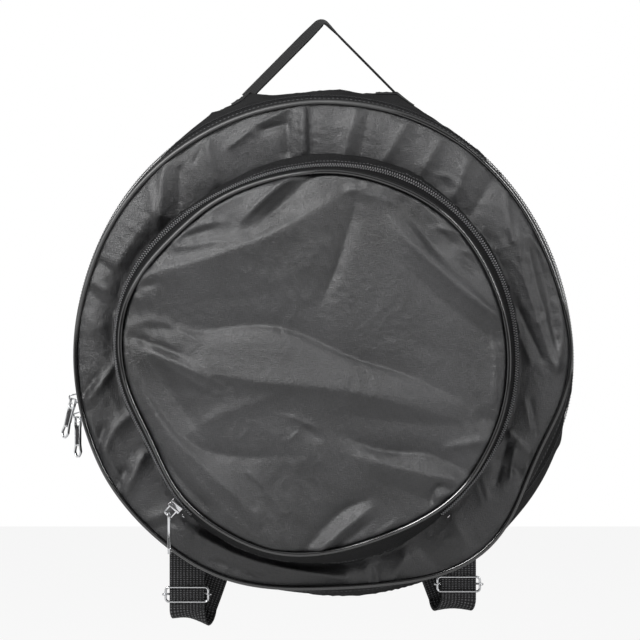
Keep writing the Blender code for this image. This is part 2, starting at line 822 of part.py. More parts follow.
def make_pull(prefix, pin, twist, lean, materials):
    """A metal pull with its rubber insert, hanging from its pin."""
    outer, eye_hole, window, end_hole = pull_outlines()
    body = flat_cut(
        prefix + "_pull", (outer, eye_hole, window, end_hole), PULL_THICK, materials["metal"]
    )
    filled = [(x - math.copysign(GAP, x), y) for x, y in window]
    middle = sum(y for x, y in window) / len(window)
    filled = [(x, y - math.copysign(GAP, y - middle)) for x, y in filled]
    thick = PULL_THICK + 2 * PULL_INSERT_PROUD
    insert = flat_cut(prefix + "_pull_insert", (filled,), thick, materials["insert"])
    # The plate is drawn in XY and is stood up so that its bar lies along Y.
    stand = Matrix.Rotation(math.pi / 2, 4, "Z") @ Matrix.Rotation(math.pi / 2, 4, "X")
    placed = (
        Matrix.Translation(pin)
        @ Matrix.Rotation(lean, 4, "Y")
        @ Matrix.Rotation(twist, 4, "Z")
        @ stand
    )
    for piece in (body, insert):
        piece.matrix_world = placed
    return [body, insert]


def pin_rise(twist):
    """From the nylon to the pull's bar, which hangs just clear of the bridge whichever way it turns."""
    bar_reach = math.hypot(PULL_RIM / 2, PULL_THICK / 2) + BRIDGE_WIDTH / 2 * math.tan(twist)
    return PLATE_RISE + SLIDER_PLATE + BRIDGE_RISE - GAP - bar_reach


def make_slider_set(prefix, centre, nylon_radius, zip_y, angle, twist, lean, parent, materials):
    """A slider on its ring's axis and its pull on the pin, each carried by its own empty."""
    turning = joint_empty(prefix + "_slider_axis", (centre[0], zip_y, centre[1]), parent)
    slider = make_slider(prefix + "_slider", centre, nylon_radius, zip_y, angle, materials)
    pin = on_ring(centre, nylon_radius + pin_rise(twist), angle, zip_y)
    swinging = joint_empty(prefix + "_pull_axis", pin, turning)
    pull = make_pull(prefix, pin, twist, lean, materials)
    attach(turning, [slider])
    attach(swinging, pull)


# Carry handle


def rounded_path(corners, radius, steps):
    """Points along straight runs joined by arcs, which are read from quadratic curves."""
    points = [corners[0]]
    for before, corner, after in zip(corners, corners[1:], corners[2:]):
        start = corner + (before - corner).normalized() * radius
        end = corner + (after - corner).normalized() * radius
        for i in range(steps + 1):
            t = i / steps
            points.append(start.lerp(corner, t).lerp(corner.lerp(end, t), t))
    points.append(corners[-1])
    return points


def handle_axis_z():
    """The folding axis, half a webbing's width above the higher patch at its inner side."""
    foot_angle = math.acos(HANDLE_FOOT_X / BAG_RADIUS)
    rise = max(belly(foot_angle, 0), belly(math.pi - foot_angle, 0))
    outside = BAG_RADIUS + rise + GAP + PATCH_THICK
    foot_z = math.sqrt(outside**2 - (HANDLE_FOOT_X - HANDLE_THICK) ** 2) - BAG_DROP
    return foot_z + RUNNING_GAP + HANDLE_WIDTH / 2


def make_handle(materials):
    """Webbing pulled to a point by the hook, its two ends rounded about the folding axis."""
    half = HANDLE_WIDTH / 2
    apex = HANDLE_THICK / 2
    axis_z = handle_axis_z()
    left = Vector((-HANDLE_FOOT_X, 0, axis_z))
    right = Vector((HANDLE_FOOT_X, 0, axis_z))
    peak = Vector((0, 0, apex + HANDLE_FOLD_RADIUS / 2))
    middle = rounded_path([left, peak, right], HANDLE_FOLD_RADIUS * 2, 6)
    limb = [left.lerp(middle[1], i / HANDLE_STEPS) for i in range(1, HANDLE_STEPS)]
    other = [middle[-2].lerp(right, i / HANDLE_STEPS) for i in range(1, HANDLE_STEPS)]
    rounding = [math.radians(angle) for angle in (18, 36, 54, 72)]
    drops = [half * math.cos(angle) for angle in rounding]
    widths = [half * math.sin(angle) for angle in rounding]
    down = Vector((0, 0, -1))
    start = [left + down * drop for drop in drops]
    end = [right + down * drop for drop in reversed(drops)]
    points = start + [left] + limb + middle[1:-1] + other + [right] + end
    half_widths = widths + [half] * (len(points) - 2 * len(widths)) + widths[::-1]
    twists = []
    for point in points:
        rise = min(max((point.z - axis_z) / half, 0), 1)
        share = 0.5 + 0.5 * math.tanh(point.x / HANDLE_FOLD_RADIUS)
        turn = HANDLE_LEFT_TWIST + (HANDLE_RIGHT_TWIST - HANDLE_LEFT_TWIST) * share
        twists.append(turn * rise)
    sections = sections_along(points, Vector((0, 1, 0)), half_widths, twists)
    handle = ribbon("handle_webbing", sections, HANDLE_THICK, materials["webbing"])
    attach(joint_empty("handle_axis", (0, 0, axis_z)), [handle])


def make_handle_roots(materials):
    pieces = []
    for side, sign in SIDE_SIGNS.items():
        angle = math.acos(sign * HANDLE_FOOT_X / BAG_RADIUS)
        outside = BAG_RADIUS + GAP + PATCH_THICK
        profile = strip(outside, PATCH_THICK, -PATCH_HALF_DEPTH, PATCH_HALF_DEPTH)
        pieces.append(
            turned(
                "handle_root_" + side,
                profile,
                BAG_CENTRE,
                materials["webbing"],
                angle - PATCH_HALF_ARC,
                2 * PATCH_HALF_ARC,
                belly,
            )
        )
    return pieces


# Backpack straps


def strap_points(side):
    """The webbing's middle line, from the seam tab down, round the loop and up to the top."""
    sign = SIDE_SIGNS[side]
    foot = Vector((sign * STRAP_FOOT_X, STRAP_SEAM_Y, STRAP_FOOT_Z - GAP))
    radius = STRAP_TURN_RADIUS
    turn_z = STRAP_FOOT_Z - LOOP_LENGTHS[side] + radius
    turn_x = sign * (STRAP_FOOT_X - STRAP_TURN_DRIFT)
    steps = STRAP_STEPS // 3
    points = []
    for i in range(steps):
        t = i / steps
        points.append(foot.lerp(Vector((foot.x, foot.y, turn_z)), t))
    for i in range(steps + 1):
        t = i / steps
        angle = math.pi * t
        x = foot.x + (turn_x - foot.x) * t
        y = foot.y + radius * (1 - math.cos(angle))
        points.append(Vector((x, y, turn_z - radius * math.sin(angle))))
    rear = points[-1]
    for i in range(1, STRAP_STEPS + 1):
        t = i / STRAP_STEPS
        x = sign * STRAP_TOP_X + (rear.x - sign * STRAP_TOP_X) * (1 - t) ** STRAP_CURVE_POWER
        y = rear.y + (STRAP_TOP_Y - rear.y) * t + STRAP_BOW * math.sin(math.pi * t)
        points.append(Vector((x, y, rear.z + (STRAP_TOP_Z - rear.z) * t)))
    return points


def webbing(name, points, material):
    half_widths = [WEBBING_WIDTH / 2] * len(points)
    sections = sections_along(points, Vector((1, 0, 0)), half_widths)
    return ribbon(name, sections, WEBBING_THICK, material)


def make_strap_root(side, material):
    """The upper end of a strap, flat on the rear panel and then standing off to meet the strap."""
    x = SIDE_SIGNS[side] * STRAP_TOP_X
    flat_y = REAR_FACE + GAP + WEBBING_THICK / 2
    end_z = STRAP_TOP_Z + GAP
    flare_z = end_z + ROOT_FLARE
    top = Vector((x, flat_y, end_z + ROOT_LENGTH))
    points = [top, Vector((x, flat_y, flare_z))]
    steps = STRAP_STEPS // 3
    for i in range(1, steps + 1):
        t = i / steps
        ease = t * t * (3 - 2 * t)
        y = flat_y + (STRAP_TOP_Y - flat_y) * ease
        points.append(Vector((x, y, flare_z + (end_z - flare_z) * t)))
    return webbing("strap_root_" + side, points, material)


def make_strap_tab(side, material):
    """The lower end of a strap, which hangs from the rear seam. Its top follows the gusset."""
    sign = SIDE_SIGNS[side]
    half = WEBBING_WIDTH / 2
    y = STRAP_SEAM_Y - WEBBING_THICK / 2
    seam = BAG_RADIUS + GAP
    steps = STRAP_STEPS // 4
    outline = []
    for i in range(steps + 1):
        x = sign * STRAP_FOOT_X - half + 2 * half * i / steps
        outline.append(Vector((x, y, -BAG_DROP - math.sqrt(seam**2 - x**2))))
    outline.append(Vector((outline[-1].x, y, STRAP_FOOT_Z)))
    outline.append(Vector((outline[0].x, y, STRAP_FOOT_Z)))
    return prism("strap_tab_" + side, outline, (0, WEBBING_THICK, 0), material)


def adjuster_centre(side):
    x = SIDE_SIGNS[side] * STRAP_FOOT_X
    y = STRAP_SEAM_Y - WEBBING_THICK / 2 - GAP - ADJUSTER_WIRE
    return Vector((x, y, STRAP_FOOT_Z - LOOP_LENGTHS[side] + ADJUSTER_RISE))


def make_adjuster_frame(side, material):
    """A rounded wire rectangle in front of the webbing."""
    centre = adjuster_centre(side)
    half_x = ADJUSTER_WIDTH / 2 - ADJUSTER_WIRE - ADJUSTER_CORNER
    half_z = ADJUSTER_HEIGHT / 2 - ADJUSTER_WIRE - ADJUSTER_CORNER
    points = []
    for quarter, (x_sign, z_sign) in enumerate(((1, 1), (-1, 1), (-1, -1), (1, -1))):
        for i in range(4):
            angle = math.pi / 2 * (quarter + i / 3)
            x = x_sign * half_x + ADJUSTER_CORNER * math.cos(angle)
            z = z_sign * half_z + ADJUSTER_CORNER * math.sin(angle)
            points.append(centre + Vector((x, 0, z)))
    return tube("adjuster_frame_" + side, points, ADJUSTER_WIRE, material, True)


def make_adjuster_bar(side, material):
    """The bar behind the webbing, its ends hooked round the frame's sides."""
    centre = adjuster_centre(side)
    rail = ADJUSTER_WIDTH / 2 - ADJUSTER_WIRE
    hook = ADJUSTER_WIRE + GAP + BAR_WIRE
    back = ADJUSTER_WIRE + GAP + WEBBING_THICK + GAP + BAR_WIRE
    straight = WEBBING_WIDTH / 2 + GAP + BAR_WIRE / 2
    angles = [math.radians(angle) for angle in (65, 35, 5, -25, -55, -85)]
    right = [Vector((straight, back, 0))]
    right += [Vector((rail + hook * math.cos(a), hook * math.sin(a), 0)) for a in angles]
    left = [Vector((-point.x, point.y, point.z)) for point in reversed(right)]
    points = [centre + point for point in left + right]
    return tube("adjuster_bar_" + side, points, BAR_WIRE, material, False)


def make_straps(materials):
    fixed = []
    for side, sign in SIDE_SIGNS.items():
        webbing_material = materials["webbing"]
        fixed.append(make_strap_root(side, webbing_material))
        fixed.append(make_strap_tab(side, webbing_material))
        foot = (sign * STRAP_FOOT_X, STRAP_SEAM_Y, STRAP_FOOT_Z)
        swing = joint_empty("strap_%s_axis" % side, foot)
        strap = webbing("strap_webbing_" + side, strap_points(side), webbing_material)
        sliding = joint_empty("adjuster_%s_axis" % side, adjuster_centre(side), swing)
        bar_sliding = joint_empty("bar_%s_axis" % side, adjuster_centre(side), sliding)
        attach(swing, [strap])
        attach(sliding, [make_adjuster_frame(side, materials["metal"])])
        attach(bar_sliding, [make_adjuster_bar(side, materials["metal"])])
    return fixed


def main():
    clear_scene()
    materials = make_materials()
    lid = joint_empty("lid_axis", (0, ZIP_Y, -BAG_DROP - BAG_RADIUS))
    flap_foot = (POCKET_CENTRE[0], POCKET_ZIP_Y, POCKET_CENTRE[1] - POCKET_ZIP_RADIUS)
    flap = joint_empty("pocket_flap_axis", flap_foot, lid)
    make_rear_shell(materials)
    make_rear_zipper(materials)
    attach(lid, make_front_shell(materials) + make_pocket_base(materials))
    attach(flap, make_pocket_flap(materials))
    make_handle(materials)
    make_handle_roots(materials)
    make_straps(materials)
    main_zip = (BAG_CENTRE, BAG_RADIUS, ZIP_Y)
    pocket_zip = (POCKET_CENTRE, POCKET_ZIP_RADIUS, POCKET_ZIP_Y)
    make_slider_set(
        "upper",
        *main_zip,
        UPPER_SLIDER_ANGLE,
        MAIN_PULL_TWIST,
        UPPER_PULL_LEAN,
        None,
        materials,
    )
    make_slider_set("lower", *main_zip, LOWER_SLIDER_ANGLE, MAIN_PULL_TWIST, 0, None, materials)
    make_slider_set("pocket", *pocket_zip, POCKET_SLIDER_ANGLE, 0, 0, lid, materials)


main()
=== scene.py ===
import math

import bpy
import numpy as np
from mathutils import Matrix, Quaternion, Vector


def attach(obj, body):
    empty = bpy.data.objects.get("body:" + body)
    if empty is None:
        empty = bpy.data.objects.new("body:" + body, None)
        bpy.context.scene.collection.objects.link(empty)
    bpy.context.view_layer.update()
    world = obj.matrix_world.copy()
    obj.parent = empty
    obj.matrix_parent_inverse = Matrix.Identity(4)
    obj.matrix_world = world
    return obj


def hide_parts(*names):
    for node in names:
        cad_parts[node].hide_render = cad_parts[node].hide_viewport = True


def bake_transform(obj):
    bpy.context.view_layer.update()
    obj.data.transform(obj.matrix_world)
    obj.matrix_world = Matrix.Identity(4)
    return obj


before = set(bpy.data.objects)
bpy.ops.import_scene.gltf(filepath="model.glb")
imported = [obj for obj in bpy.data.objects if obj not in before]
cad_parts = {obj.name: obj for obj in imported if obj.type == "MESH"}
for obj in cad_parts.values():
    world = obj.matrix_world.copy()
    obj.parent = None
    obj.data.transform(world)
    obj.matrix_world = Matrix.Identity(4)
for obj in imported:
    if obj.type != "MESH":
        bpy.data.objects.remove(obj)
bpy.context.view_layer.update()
bpy.ops.object.select_all(action="DESELECT")

mm = 0.001

# places that come from the construction, in millimetres
bag = {"radius": 200.0, "drop": -264.0, "face": -82.5, "back": 82.5, "zip": -58.5}
pocket = {"x": -5.6, "z": -275.2, "zip": -106.0, "face": -120.5, "radius": 160.0}
tapeEdge = 10.3  # from the main zipper's middle to the outer edges of its tapes
pocketTapeEdge = 8.3
tapeGap = 1.2  # from a zipper's middle to the inner edge of a tape
rearStrap = 50.0  # from the bag's middle to the middle of a strap's root
turnStart, turnEnd = -math.pi / 2, 1.5 * math.pi  # grids round a ring meet at its lowest point

# how the photograph shows the front face: millimetres in a pixel, the lens axis and the camera's distance
photo = {"mmPerPixel": 0.797, "middle": 320, "x": -2.4, "z": -243.0, "distance": 2000.0}

# soft edges, as points noted in the photograph's pixels
rimPixels = [
    (300, 103), (320, 103), (340, 103), (360, 105), (380, 110), (400, 115), (420, 121), (440, 131),
    (460, 145), (480, 160), (500, 180), (510, 192), (518, 200), (530, 219), (540, 240), (550, 265),
    (560, 295), (566, 318), (570, 345), (568, 375), (565, 395), (558, 412), (548, 432), (538, 450),
    (530, 465), (526, 478), (520, 497), (515, 510), (505, 527), (490, 543), (470, 560), (450, 571),
    (440, 573), (420, 576), (400, 580), (383, 584), (352, 586.5), (300, 586), (270, 585), (240, 583),
    (220, 575), (200, 565), (178, 553), (160, 538), (140, 521), (125, 503), (110, 480), (97, 455),
    (88, 432), (82, 405), (77, 370), (76, 350), (80, 310), (88, 280), (100, 252), (118, 212), (130, 197),
    (140, 186), (160, 167), (180, 150), (200, 136), (220, 125), (240, 119), (260, 113), (280, 107),
]
flapPixels = [
    (320, 170), (340, 170), (360, 173), (380, 179), (400, 187), (420, 196), (440, 207), (450, 216),
    (460, 228), (470, 240), (480, 252), (490, 272), (500, 296), (505, 312), (508, 328), (510, 340),
    (511, 355), (511, 370), (510, 385), (508, 398), (504, 412), (500, 425), (495, 438), (490, 450),
    (480, 468), (470, 482), (460, 493), (450, 503), (440, 511), (420, 522), (400, 532), (380, 539.5),
    (360, 546), (340, 552), (320, 555), (300, 556), (280, 554.5), (260, 551), (240, 544), (220, 530),
    (200, 517), (190, 510), (180, 501), (170, 485), (160, 462), (150, 440), (143, 427), (133, 410),
    (125, 390), (121, 370), (119, 350), (119, 335), (121, 310), (124, 300), (133, 283), (150, 260),
    (160, 247), (180, 229), (200, 210), (220, 197), (240, 188), (260, 181), (280, 176), (300, 172),
]
pocketZipPixels = [
    (230, 188), (210, 196), (190, 209), (170, 225), (150, 242), (140, 256), (128, 275), (119, 300),
    (115, 325), (114, 350), (117, 380), (125, 405), (136, 425), (150, 450), (190, 516), (440, 520),
    (516, 395), (519, 365), (518, 335), (513, 307), (505, 277), (490, 247), (470, 223), (450, 203),
    (430, 187), (410, 177), (320, 164),
]
# where the photograph shows no zipper: degrees, and a given radius
unseenZip = [(250, 160), (270, 160), (290, 160), (310, 157), (320, 157)]
# the main zipper's radii every ten degrees from the right, going up, as listed
zipRadius = [
    200.5, 198.5, 198.0, 198.0, 198.5, 200.0, 201.0, 201.5, 201.5, 201.0, 201.5, 201.5,
    201.0, 200.5, 199.5, 198.5, 198.0, 198.5, 199.5, 200.0, 200.5, 200.5, 200.5, 200.0,
    200.0, 200.5, 199.0, 199.5, 201.0, 201.5, 200.5, 199.5, 200.5, 201.5, 202.5, 202.5,
]
# the belly's radii every twenty degrees; these are not chosen by hand: a program measured them from the
# photograph's outline, and its numbers were lowered, thinned out and rounded
bellyEvery20 = [203, 197, 200, 207, 209, 209, 208, 200, 198, 201, 205, 209, 206, 203, 206, 212, 213, 209]
tableDegrees = np.arange(0, 360, 10)


def fromPhoto(pixels, y):
    # points of the photograph on the plane at y, in millimetres from the bag's middle
    scale = photo["mmPerPixel"] * (photo["distance"] + y - bag["face"]) / photo["distance"]
    points = np.array(pixels, float)
    x = photo["x"] + (points[:, 0] - photo["middle"]) * scale
    z = photo["z"] - bag["drop"] + (photo["middle"] - points[:, 1]) * scale
    return np.column_stack((x, z))


def edgeTable(pixels, y, middle, unseen=()):
    # an edge's distance from its middle, with chosen radii where the photograph shows nothing
    spots = fromPhoto(pixels, y) - middle
    degrees = list(np.degrees(np.arctan2(spots[:, 1], spots[:, 0]))) + [place for place, _ in unseen]
    radii = list(np.hypot(*spots.T)) + [radius for _, radius in unseen]
    return np.interp(tableDegrees, degrees, radii, period=360)


def strokesAt(rows, y):
    # fold rows with their paths in millimetres
    return [(fromPhoto(path, y), left, right, rise) for path, left, right, rise in rows]


pocketFromBag = (pocket["x"], pocket["z"] - bag["drop"])
rimRadius = edgeTable(rimPixels, bag["face"] + 1, (0, 0))
flapRadius = edgeTable(flapPixels, pocket["face"] + 1, pocketFromBag)
pocketZipRadius = edgeTable(pocketZipPixels, pocket["zip"], pocketFromBag, unseenZip)
bellyRadius = np.interp(tableDegrees, tableDegrees[::2], bellyEvery20, period=360)

# Number work shared by the soft pieces


def around(table, angle):
    # a smooth closed curve along the table's values: seven waves in full, five more that fade away
    harmonics = np.fft.rfft(table) / len(table)
    value = np.full_like(angle, harmonics[0].real)
    for turn in range(1, 13):
        ease = 1.0 if turn < 8 else 1.0 - (turn - 7) / 7
        value += 2 * ease * (harmonics[turn] * np.exp(1j * turn * angle)).real
    return value


def smooth(low, high, value):
    share = np.clip((value - low) / (high - low), 0, 1)
    return share * share * (3 - 2 * share)


def bump(distance, width):
    return np.exp(-((distance / width) ** 2))


def ripple(x, z, seed, size, count=9):
    # seeded long waves in all directions, between about -1 and 1
    random = np.random.default_rng(seed)
    total = np.zeros_like(x)
    for heading, phase, stretch in random.uniform(0, 1, (count, 3)):
        heading *= 2 * math.pi
        length = size * (0.6 + 0.9 * stretch)
        along = x * math.cos(heading) + z * math.sin(heading)
        total += np.sin(2 * math.pi * (along / length + phase))
    return total / math.sqrt(count)


def creased(x, z, seed, size):
    # waves with narrow crests, as in crumpled cloth
    warpX = x + 0.22 * size * ripple(x, z, seed + 1, size * 1.7, 5)
    warpZ = z + 0.22 * size * ripple(x, z, seed + 2, size * 1.7, 5)
    return 1 - 2 * np.sqrt(np.abs(ripple(warpX, warpZ, seed, size, 4)) + 0.02)


def crumple(x, z, seed, size):
    # seeded short creases at three sizes, faint and sharp as in handled nylon
    total = np.zeros_like(x)
    for octave, share in ((1.0, 1.0), (0.55, 0.5), (0.3, 0.22)):
        wave = ripple(x, z, seed, size * octave, 6)
        mask = 0.5 + 0.5 * ripple(x, z, seed + 7, size * 3.1, 4)
        total += share * (1 - np.abs(wave)) * np.clip(mask, 0, 1.4)
        seed += 3
    return total


def closedWave(wave, angle):
    # a pattern along the circle that meets itself where the circle closes
    angle = np.mod(angle + math.pi / 2, 2 * math.pi) - math.pi / 2
    share = smooth(1.5 * math.pi - 0.5, 1.5 * math.pi, angle)
    return wave(angle) * (1 - share) + wave(angle - 2 * math.pi) * share


def softened(path):
    # cuts the corners of a path twice, so that a fold bends instead of breaking
    path = np.array(path, float)
    if len(path) < 3:
        return path
    for _ in range(2):
        ahead, back = path[:-1], path[1:]
        cut = np.empty((2 * len(ahead), 2))
        cut[0::2] = 0.75 * ahead + 0.25 * back
        cut[1::2] = 0.25 * ahead + 0.75 * back
        path = np.vstack([path[:1], cut[1:-1], path[-1:]])
    return path


def crest(distance, width, slope=1.5, ridge=0.014, top=0.118):
    # a crease: nearly straight slopes that meet in a narrow rounded ridge of height 1
    share = distance / width
    return np.exp(-slope * (np.sqrt(share * share + ridge) - top))


def folds(x, z, strokes, rimGap, seamClear=12):
    # each stroke is a path, its width on the left and right of its heading, and its height;
    # a stroke fades at an end that lies more than seamClear from the seam
    height = np.zeros_like(x)
    for path, left, right, rise in strokes:
        fades = rimGap(*path[[0, -1]].T) > seamClear
        soft = softened(path)
        run = np.hypot(*np.diff(soft, axis=0).T)
        total, done = run.sum(), 0.0
        nearest = np.full_like(x, 1e9)
        side, spot = np.zeros_like(x), np.zeros_like(x)
        for (ax, az), (bx, bz), length in zip(soft, soft[1:], run):
            runX, runZ = bx - ax, bz - az
            share = np.clip(((x - ax) * runX + (z - az) * runZ) / (length * length), 0, 1)
            offX, offZ = x - ax - share * runX, z - az - share * runZ
            distance = np.hypot(offX, offZ)
            closer = distance < nearest
            nearest = np.where(closer, distance, nearest)
            side = np.where(closer, (runX * offZ - runZ * offX) / length, side)
            spot = np.where(closer, (done + share * length) / total, spot)
            done += length
        width = right + (left - right) * smooth(-1, 1, side / (nearest + 3))
        fold = crest(nearest, width)
        if fades[0]:
            fold *= smooth(-0.1, 0.35, spot)
        if fades[1]:
            fold *= 1 - smooth(0.65, 1.1, spot)
        height += rise * fold
    return height


# Mesh work shared by the pieces


def deselect():
    if bpy.context.object and bpy.context.object.mode != "OBJECT":
        bpy.ops.object.mode_set(mode="OBJECT")
    bpy.ops.object.select_all(action="DESELECT")


def makeActive(piece):
    deselect()
    piece.select_set(True)
    bpy.context.view_layer.objects.active = piece


def layGrid(name, alongCount, acrossCount, place, uvSize, turn, wrap):
    # a flat grid whose points are moved by given curves; along and across run from 0 to 1
    deselect()
    bpy.ops.mesh.primitive_grid_add(x_subdivisions=alongCount, y_subdivisions=acrossCount, size=1)
    piece = bpy.context.object
    piece.name = name
    flat = np.zeros(len(piece.data.vertices) * 3)
    piece.data.vertices.foreach_get("co", flat)
    flat = flat.reshape(-1, 3)
    along, across = flat[:, 0] + 0.5, flat[:, 1] + 0.5
    x, y, z = place(along, across)
    corners = np.stack([x, y, z], 1) * mm
    piece.data.vertices.foreach_set("co", corners.ravel())
    loops = np.zeros(len(piece.data.loops), np.int32)
    piece.data.loops.foreach_get("vertex_index", loops)
    if uvSize:
        uv = np.stack([along[loops] * uvSize[0], across[loops] * uvSize[1]], 1) * mm
    else:
        uv = np.stack([x[loops], z[loops]], 1) * mm
    piece.data.uv_layers[0].data.foreach_set("uv", uv.ravel())
    bpy.ops.object.mode_set(mode="EDIT")
    bpy.ops.mesh.select_all(action="SELECT")
    if wrap:
        bpy.ops.mesh.remove_doubles(threshold=0.02 * mm)
    if turn:
        bpy.ops.mesh.flip_normals()
    bpy.ops.object.mode_set(mode="OBJECT")
    bpy.ops.object.shade_smooth()
    return piece


def thicken(piece, thickness, offset):
    makeActive(piece)
    solid = piece.modifiers.new("thickness", "SOLIDIFY")
    solid.thickness = thickness * mm
    solid.offset = offset
    bpy.ops.object.modifier_apply(modifier="thickness")


def ringPoint(centre, radius, angle, y):
    return centre[0] + radius * np.cos(angle), y, centre[1] + radius * np.sin(angle)


def wire(name, points, radius, closed=False, sides=4):
    # a round cord or wire along points in millimetres
    data = bpy.data.curves.new(name, "CURVE")
    data.dimensions = "3D"
    data.bevel_depth = radius * mm
    data.bevel_resolution = sides
    data.use_fill_caps = True
    line = data.splines.new("POLY")
    line.points.add(len(points) - 1)
    for spot, point in zip(line.points, points):
        spot.co = (point[0] * mm, point[1] * mm, point[2] * mm, 1)
    line.use_cyclic_u = closed
    piece = bpy.data.objects.new(name, data)
    bpy.context.scene.collection.objects.link(piece)
    makeActive(piece)
    bpy.ops.object.convert(target="MESH")
    piece = bpy.context.object
    bpy.ops.object.shade_smooth()
    return piece


def repeat(name, model, places):
    # copies of one small modelled shape, each turned and moved by its own matrix
    data = model.data
    base = np.ones((len(data.vertices), 4))
    base[:, :3] = [v.co for v in data.vertices]
    faces = [tuple(p.vertices) for p in data.polygons]
    points, allFaces = [], []
    for count, matrix in enumerate(places):
        points.append((base @ np.array(matrix).T)[:, :3])
        shift = count * len(base)
        allFaces += [tuple(i + shift for i in face) for face in faces]
    made = bpy.data.meshes.new(name)
    made.from_pydata(np.concatenate(points).tolist(), [], allFaces)
    piece = bpy.data.objects.new(name, made)
    bpy.context.scene.collection.objects.link(piece)
    makeActive(piece)
    bpy.ops.object.shade_smooth()
    return piece


def dress(piece, material, body, slot, stands=()):
    piece.data.materials.clear()
    piece.data.materials.append(material)
    if body:
        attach(piece, body)
    if stands:
        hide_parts(*stands)
    return piece


def sheet(name, counts, place, uvSize, thickness, look, offset=-1, turn=False, wrap=True):
    # a piece of cloth on a grid; look is its material, body, slot and the solids that it stands for
    piece = layGrid(name, *counts, place, uvSize, turn, wrap)
    thicken(piece, thickness, offset)
    return dress(piece, *look)


# Materials

waveScale = 0.314  # a wave texture at this scale repeats once in one unit


def paint(hexCode):
    # sRGB hex to the linear colour that the shaders read
    channels = [int(hexCode[i : i + 2], 16) / 255 for i in (1, 3, 5)]
    return (*[c / 12.92 if c <= 0.04045 else ((c + 0.055) / 1.055) ** 2.4 for c in channels], 1)


def addNode(tree, kind, values=None, links=None, **settings):
    # a node given as the source of a link stands for its first output
    node = tree.nodes.new("ShaderNode" + kind)
    for key, value in settings.items():
        setattr(node, key, value)
    for key, value in (values or {}).items():
        node.inputs[key].default_value = value
    for key, source in (links or {}).items():
        tree.links.new(source.outputs[0] if isinstance(source, bpy.types.Node) else source, node.inputs[key])
    return node


def newMaterial(name, hexCode, roughness, metallic=0.0, **sockets):
    material = bpy.data.materials.new(name)
    material.use_nodes = True
    tree = material.node_tree
    shader = tree.nodes["Principled BSDF"]
    shader.inputs["Base Color"].default_value = paint(hexCode)
    shader.inputs["Roughness"].default_value = roughness
    shader.inputs["Metallic"].default_value = metallic
    for key, value in sockets.items():
        shader.inputs[key.replace("_", " ")].default_value = value
    return material, tree, shader


def wovenCloth(name, dark, light, roughness, thread, weaveDepth, slub, specular, sheen=0.0):
    # plain woven synthetic cloth: crossing threads, slubs along both of them and a soft shine;
    # its threads are coarser than real ones, so that the weave shows at this picture size
    material, tree, shader = newMaterial(name, dark, roughness)
    shader.inputs["Specular IOR Level"].default_value = specular
    shader.inputs["Sheen Weight"].default_value = sheen
    shader.inputs["Sheen Roughness"].default_value = 0.45
    uv = addNode(tree, "TexCoord")
    place = addNode(tree, "Mapping", links={"Vector": uv.outputs["UV"]})
    repeats = 1 / (thread * mm)
    place.inputs["Scale"].default_value = (repeats, repeats, 1)
    warp, weft = (
        addNode(
            tree, "TexWave", {"Scale": waveScale, "Distortion": 0.6, "Detail": 1.0},
            {"Vector": place}, bands_direction=direction, wave_profile="SIN",
        )
        for direction in "XY"
    )
    cross = addNode(
        tree, "Math", links={0: warp.outputs["Fac"], 1: weft.outputs["Fac"]},
        operation="MULTIPLY",
    )
    streaks = []
    for scale in ((260, 1500, 1), (1500, 260, 1)):
        stretch = addNode(tree, "Mapping", links={"Vector": uv.outputs["UV"]})
        stretch.inputs["Scale"].default_value = scale
        streaks.append(
            addNode(
                tree, "TexNoise", {"Scale": 1.0, "Detail": 2.0, "Roughness": 0.6},
                {"Vector": stretch},
            )
        )
    slubs = addNode(tree, "Math", links={0: streaks[0], 1: streaks[1]}, operation="ADD")
    cloud = addNode(
        tree, "TexNoise", {"Scale": 14.0, "Detail": 4.0, "Roughness": 0.55},
        {"Vector": uv.outputs["Object"]},
    )
    tone = addNode(tree, "Math", {1: 0.5}, {0: slubs}, operation="MULTIPLY")
    tone = addNode(tree, "Math", links={0: tone, 1: cloud}, operation="MULTIPLY")
    ramp = addNode(tree, "ValToRGB", links={"Fac": tone})
    ramp.color_ramp.elements[0].position = 0.14
    ramp.color_ramp.elements[0].color = paint(dark)
    ramp.color_ramp.elements[1].position = 0.42
    ramp.color_ramp.elements[1].color = paint(light)
    tree.links.new(ramp.outputs["Color"], shader.inputs["Base Color"])
    shine = addNode(
        tree, "MapRange",
        {"From Min": 0.3, "From Max": 0.75, "To Min": roughness - 0.05, "To Max": roughness + 0.08},
        {"Value": cloud},
    )
    tree.links.new(shine.outputs["Result"], shader.inputs["Roughness"])
    weave = addNode(
        tree, "Bump", {"Strength": weaveDepth, "Distance": 0.12 * mm},
        {"Height": cross},
    )
    grain = addNode(
        tree, "Bump", {"Strength": slub, "Distance": 0.4 * mm},
        {"Height": slubs, "Normal": weave},
    )
    tree.links.new(grain.outputs["Normal"], shader.inputs["Normal"])
    return material


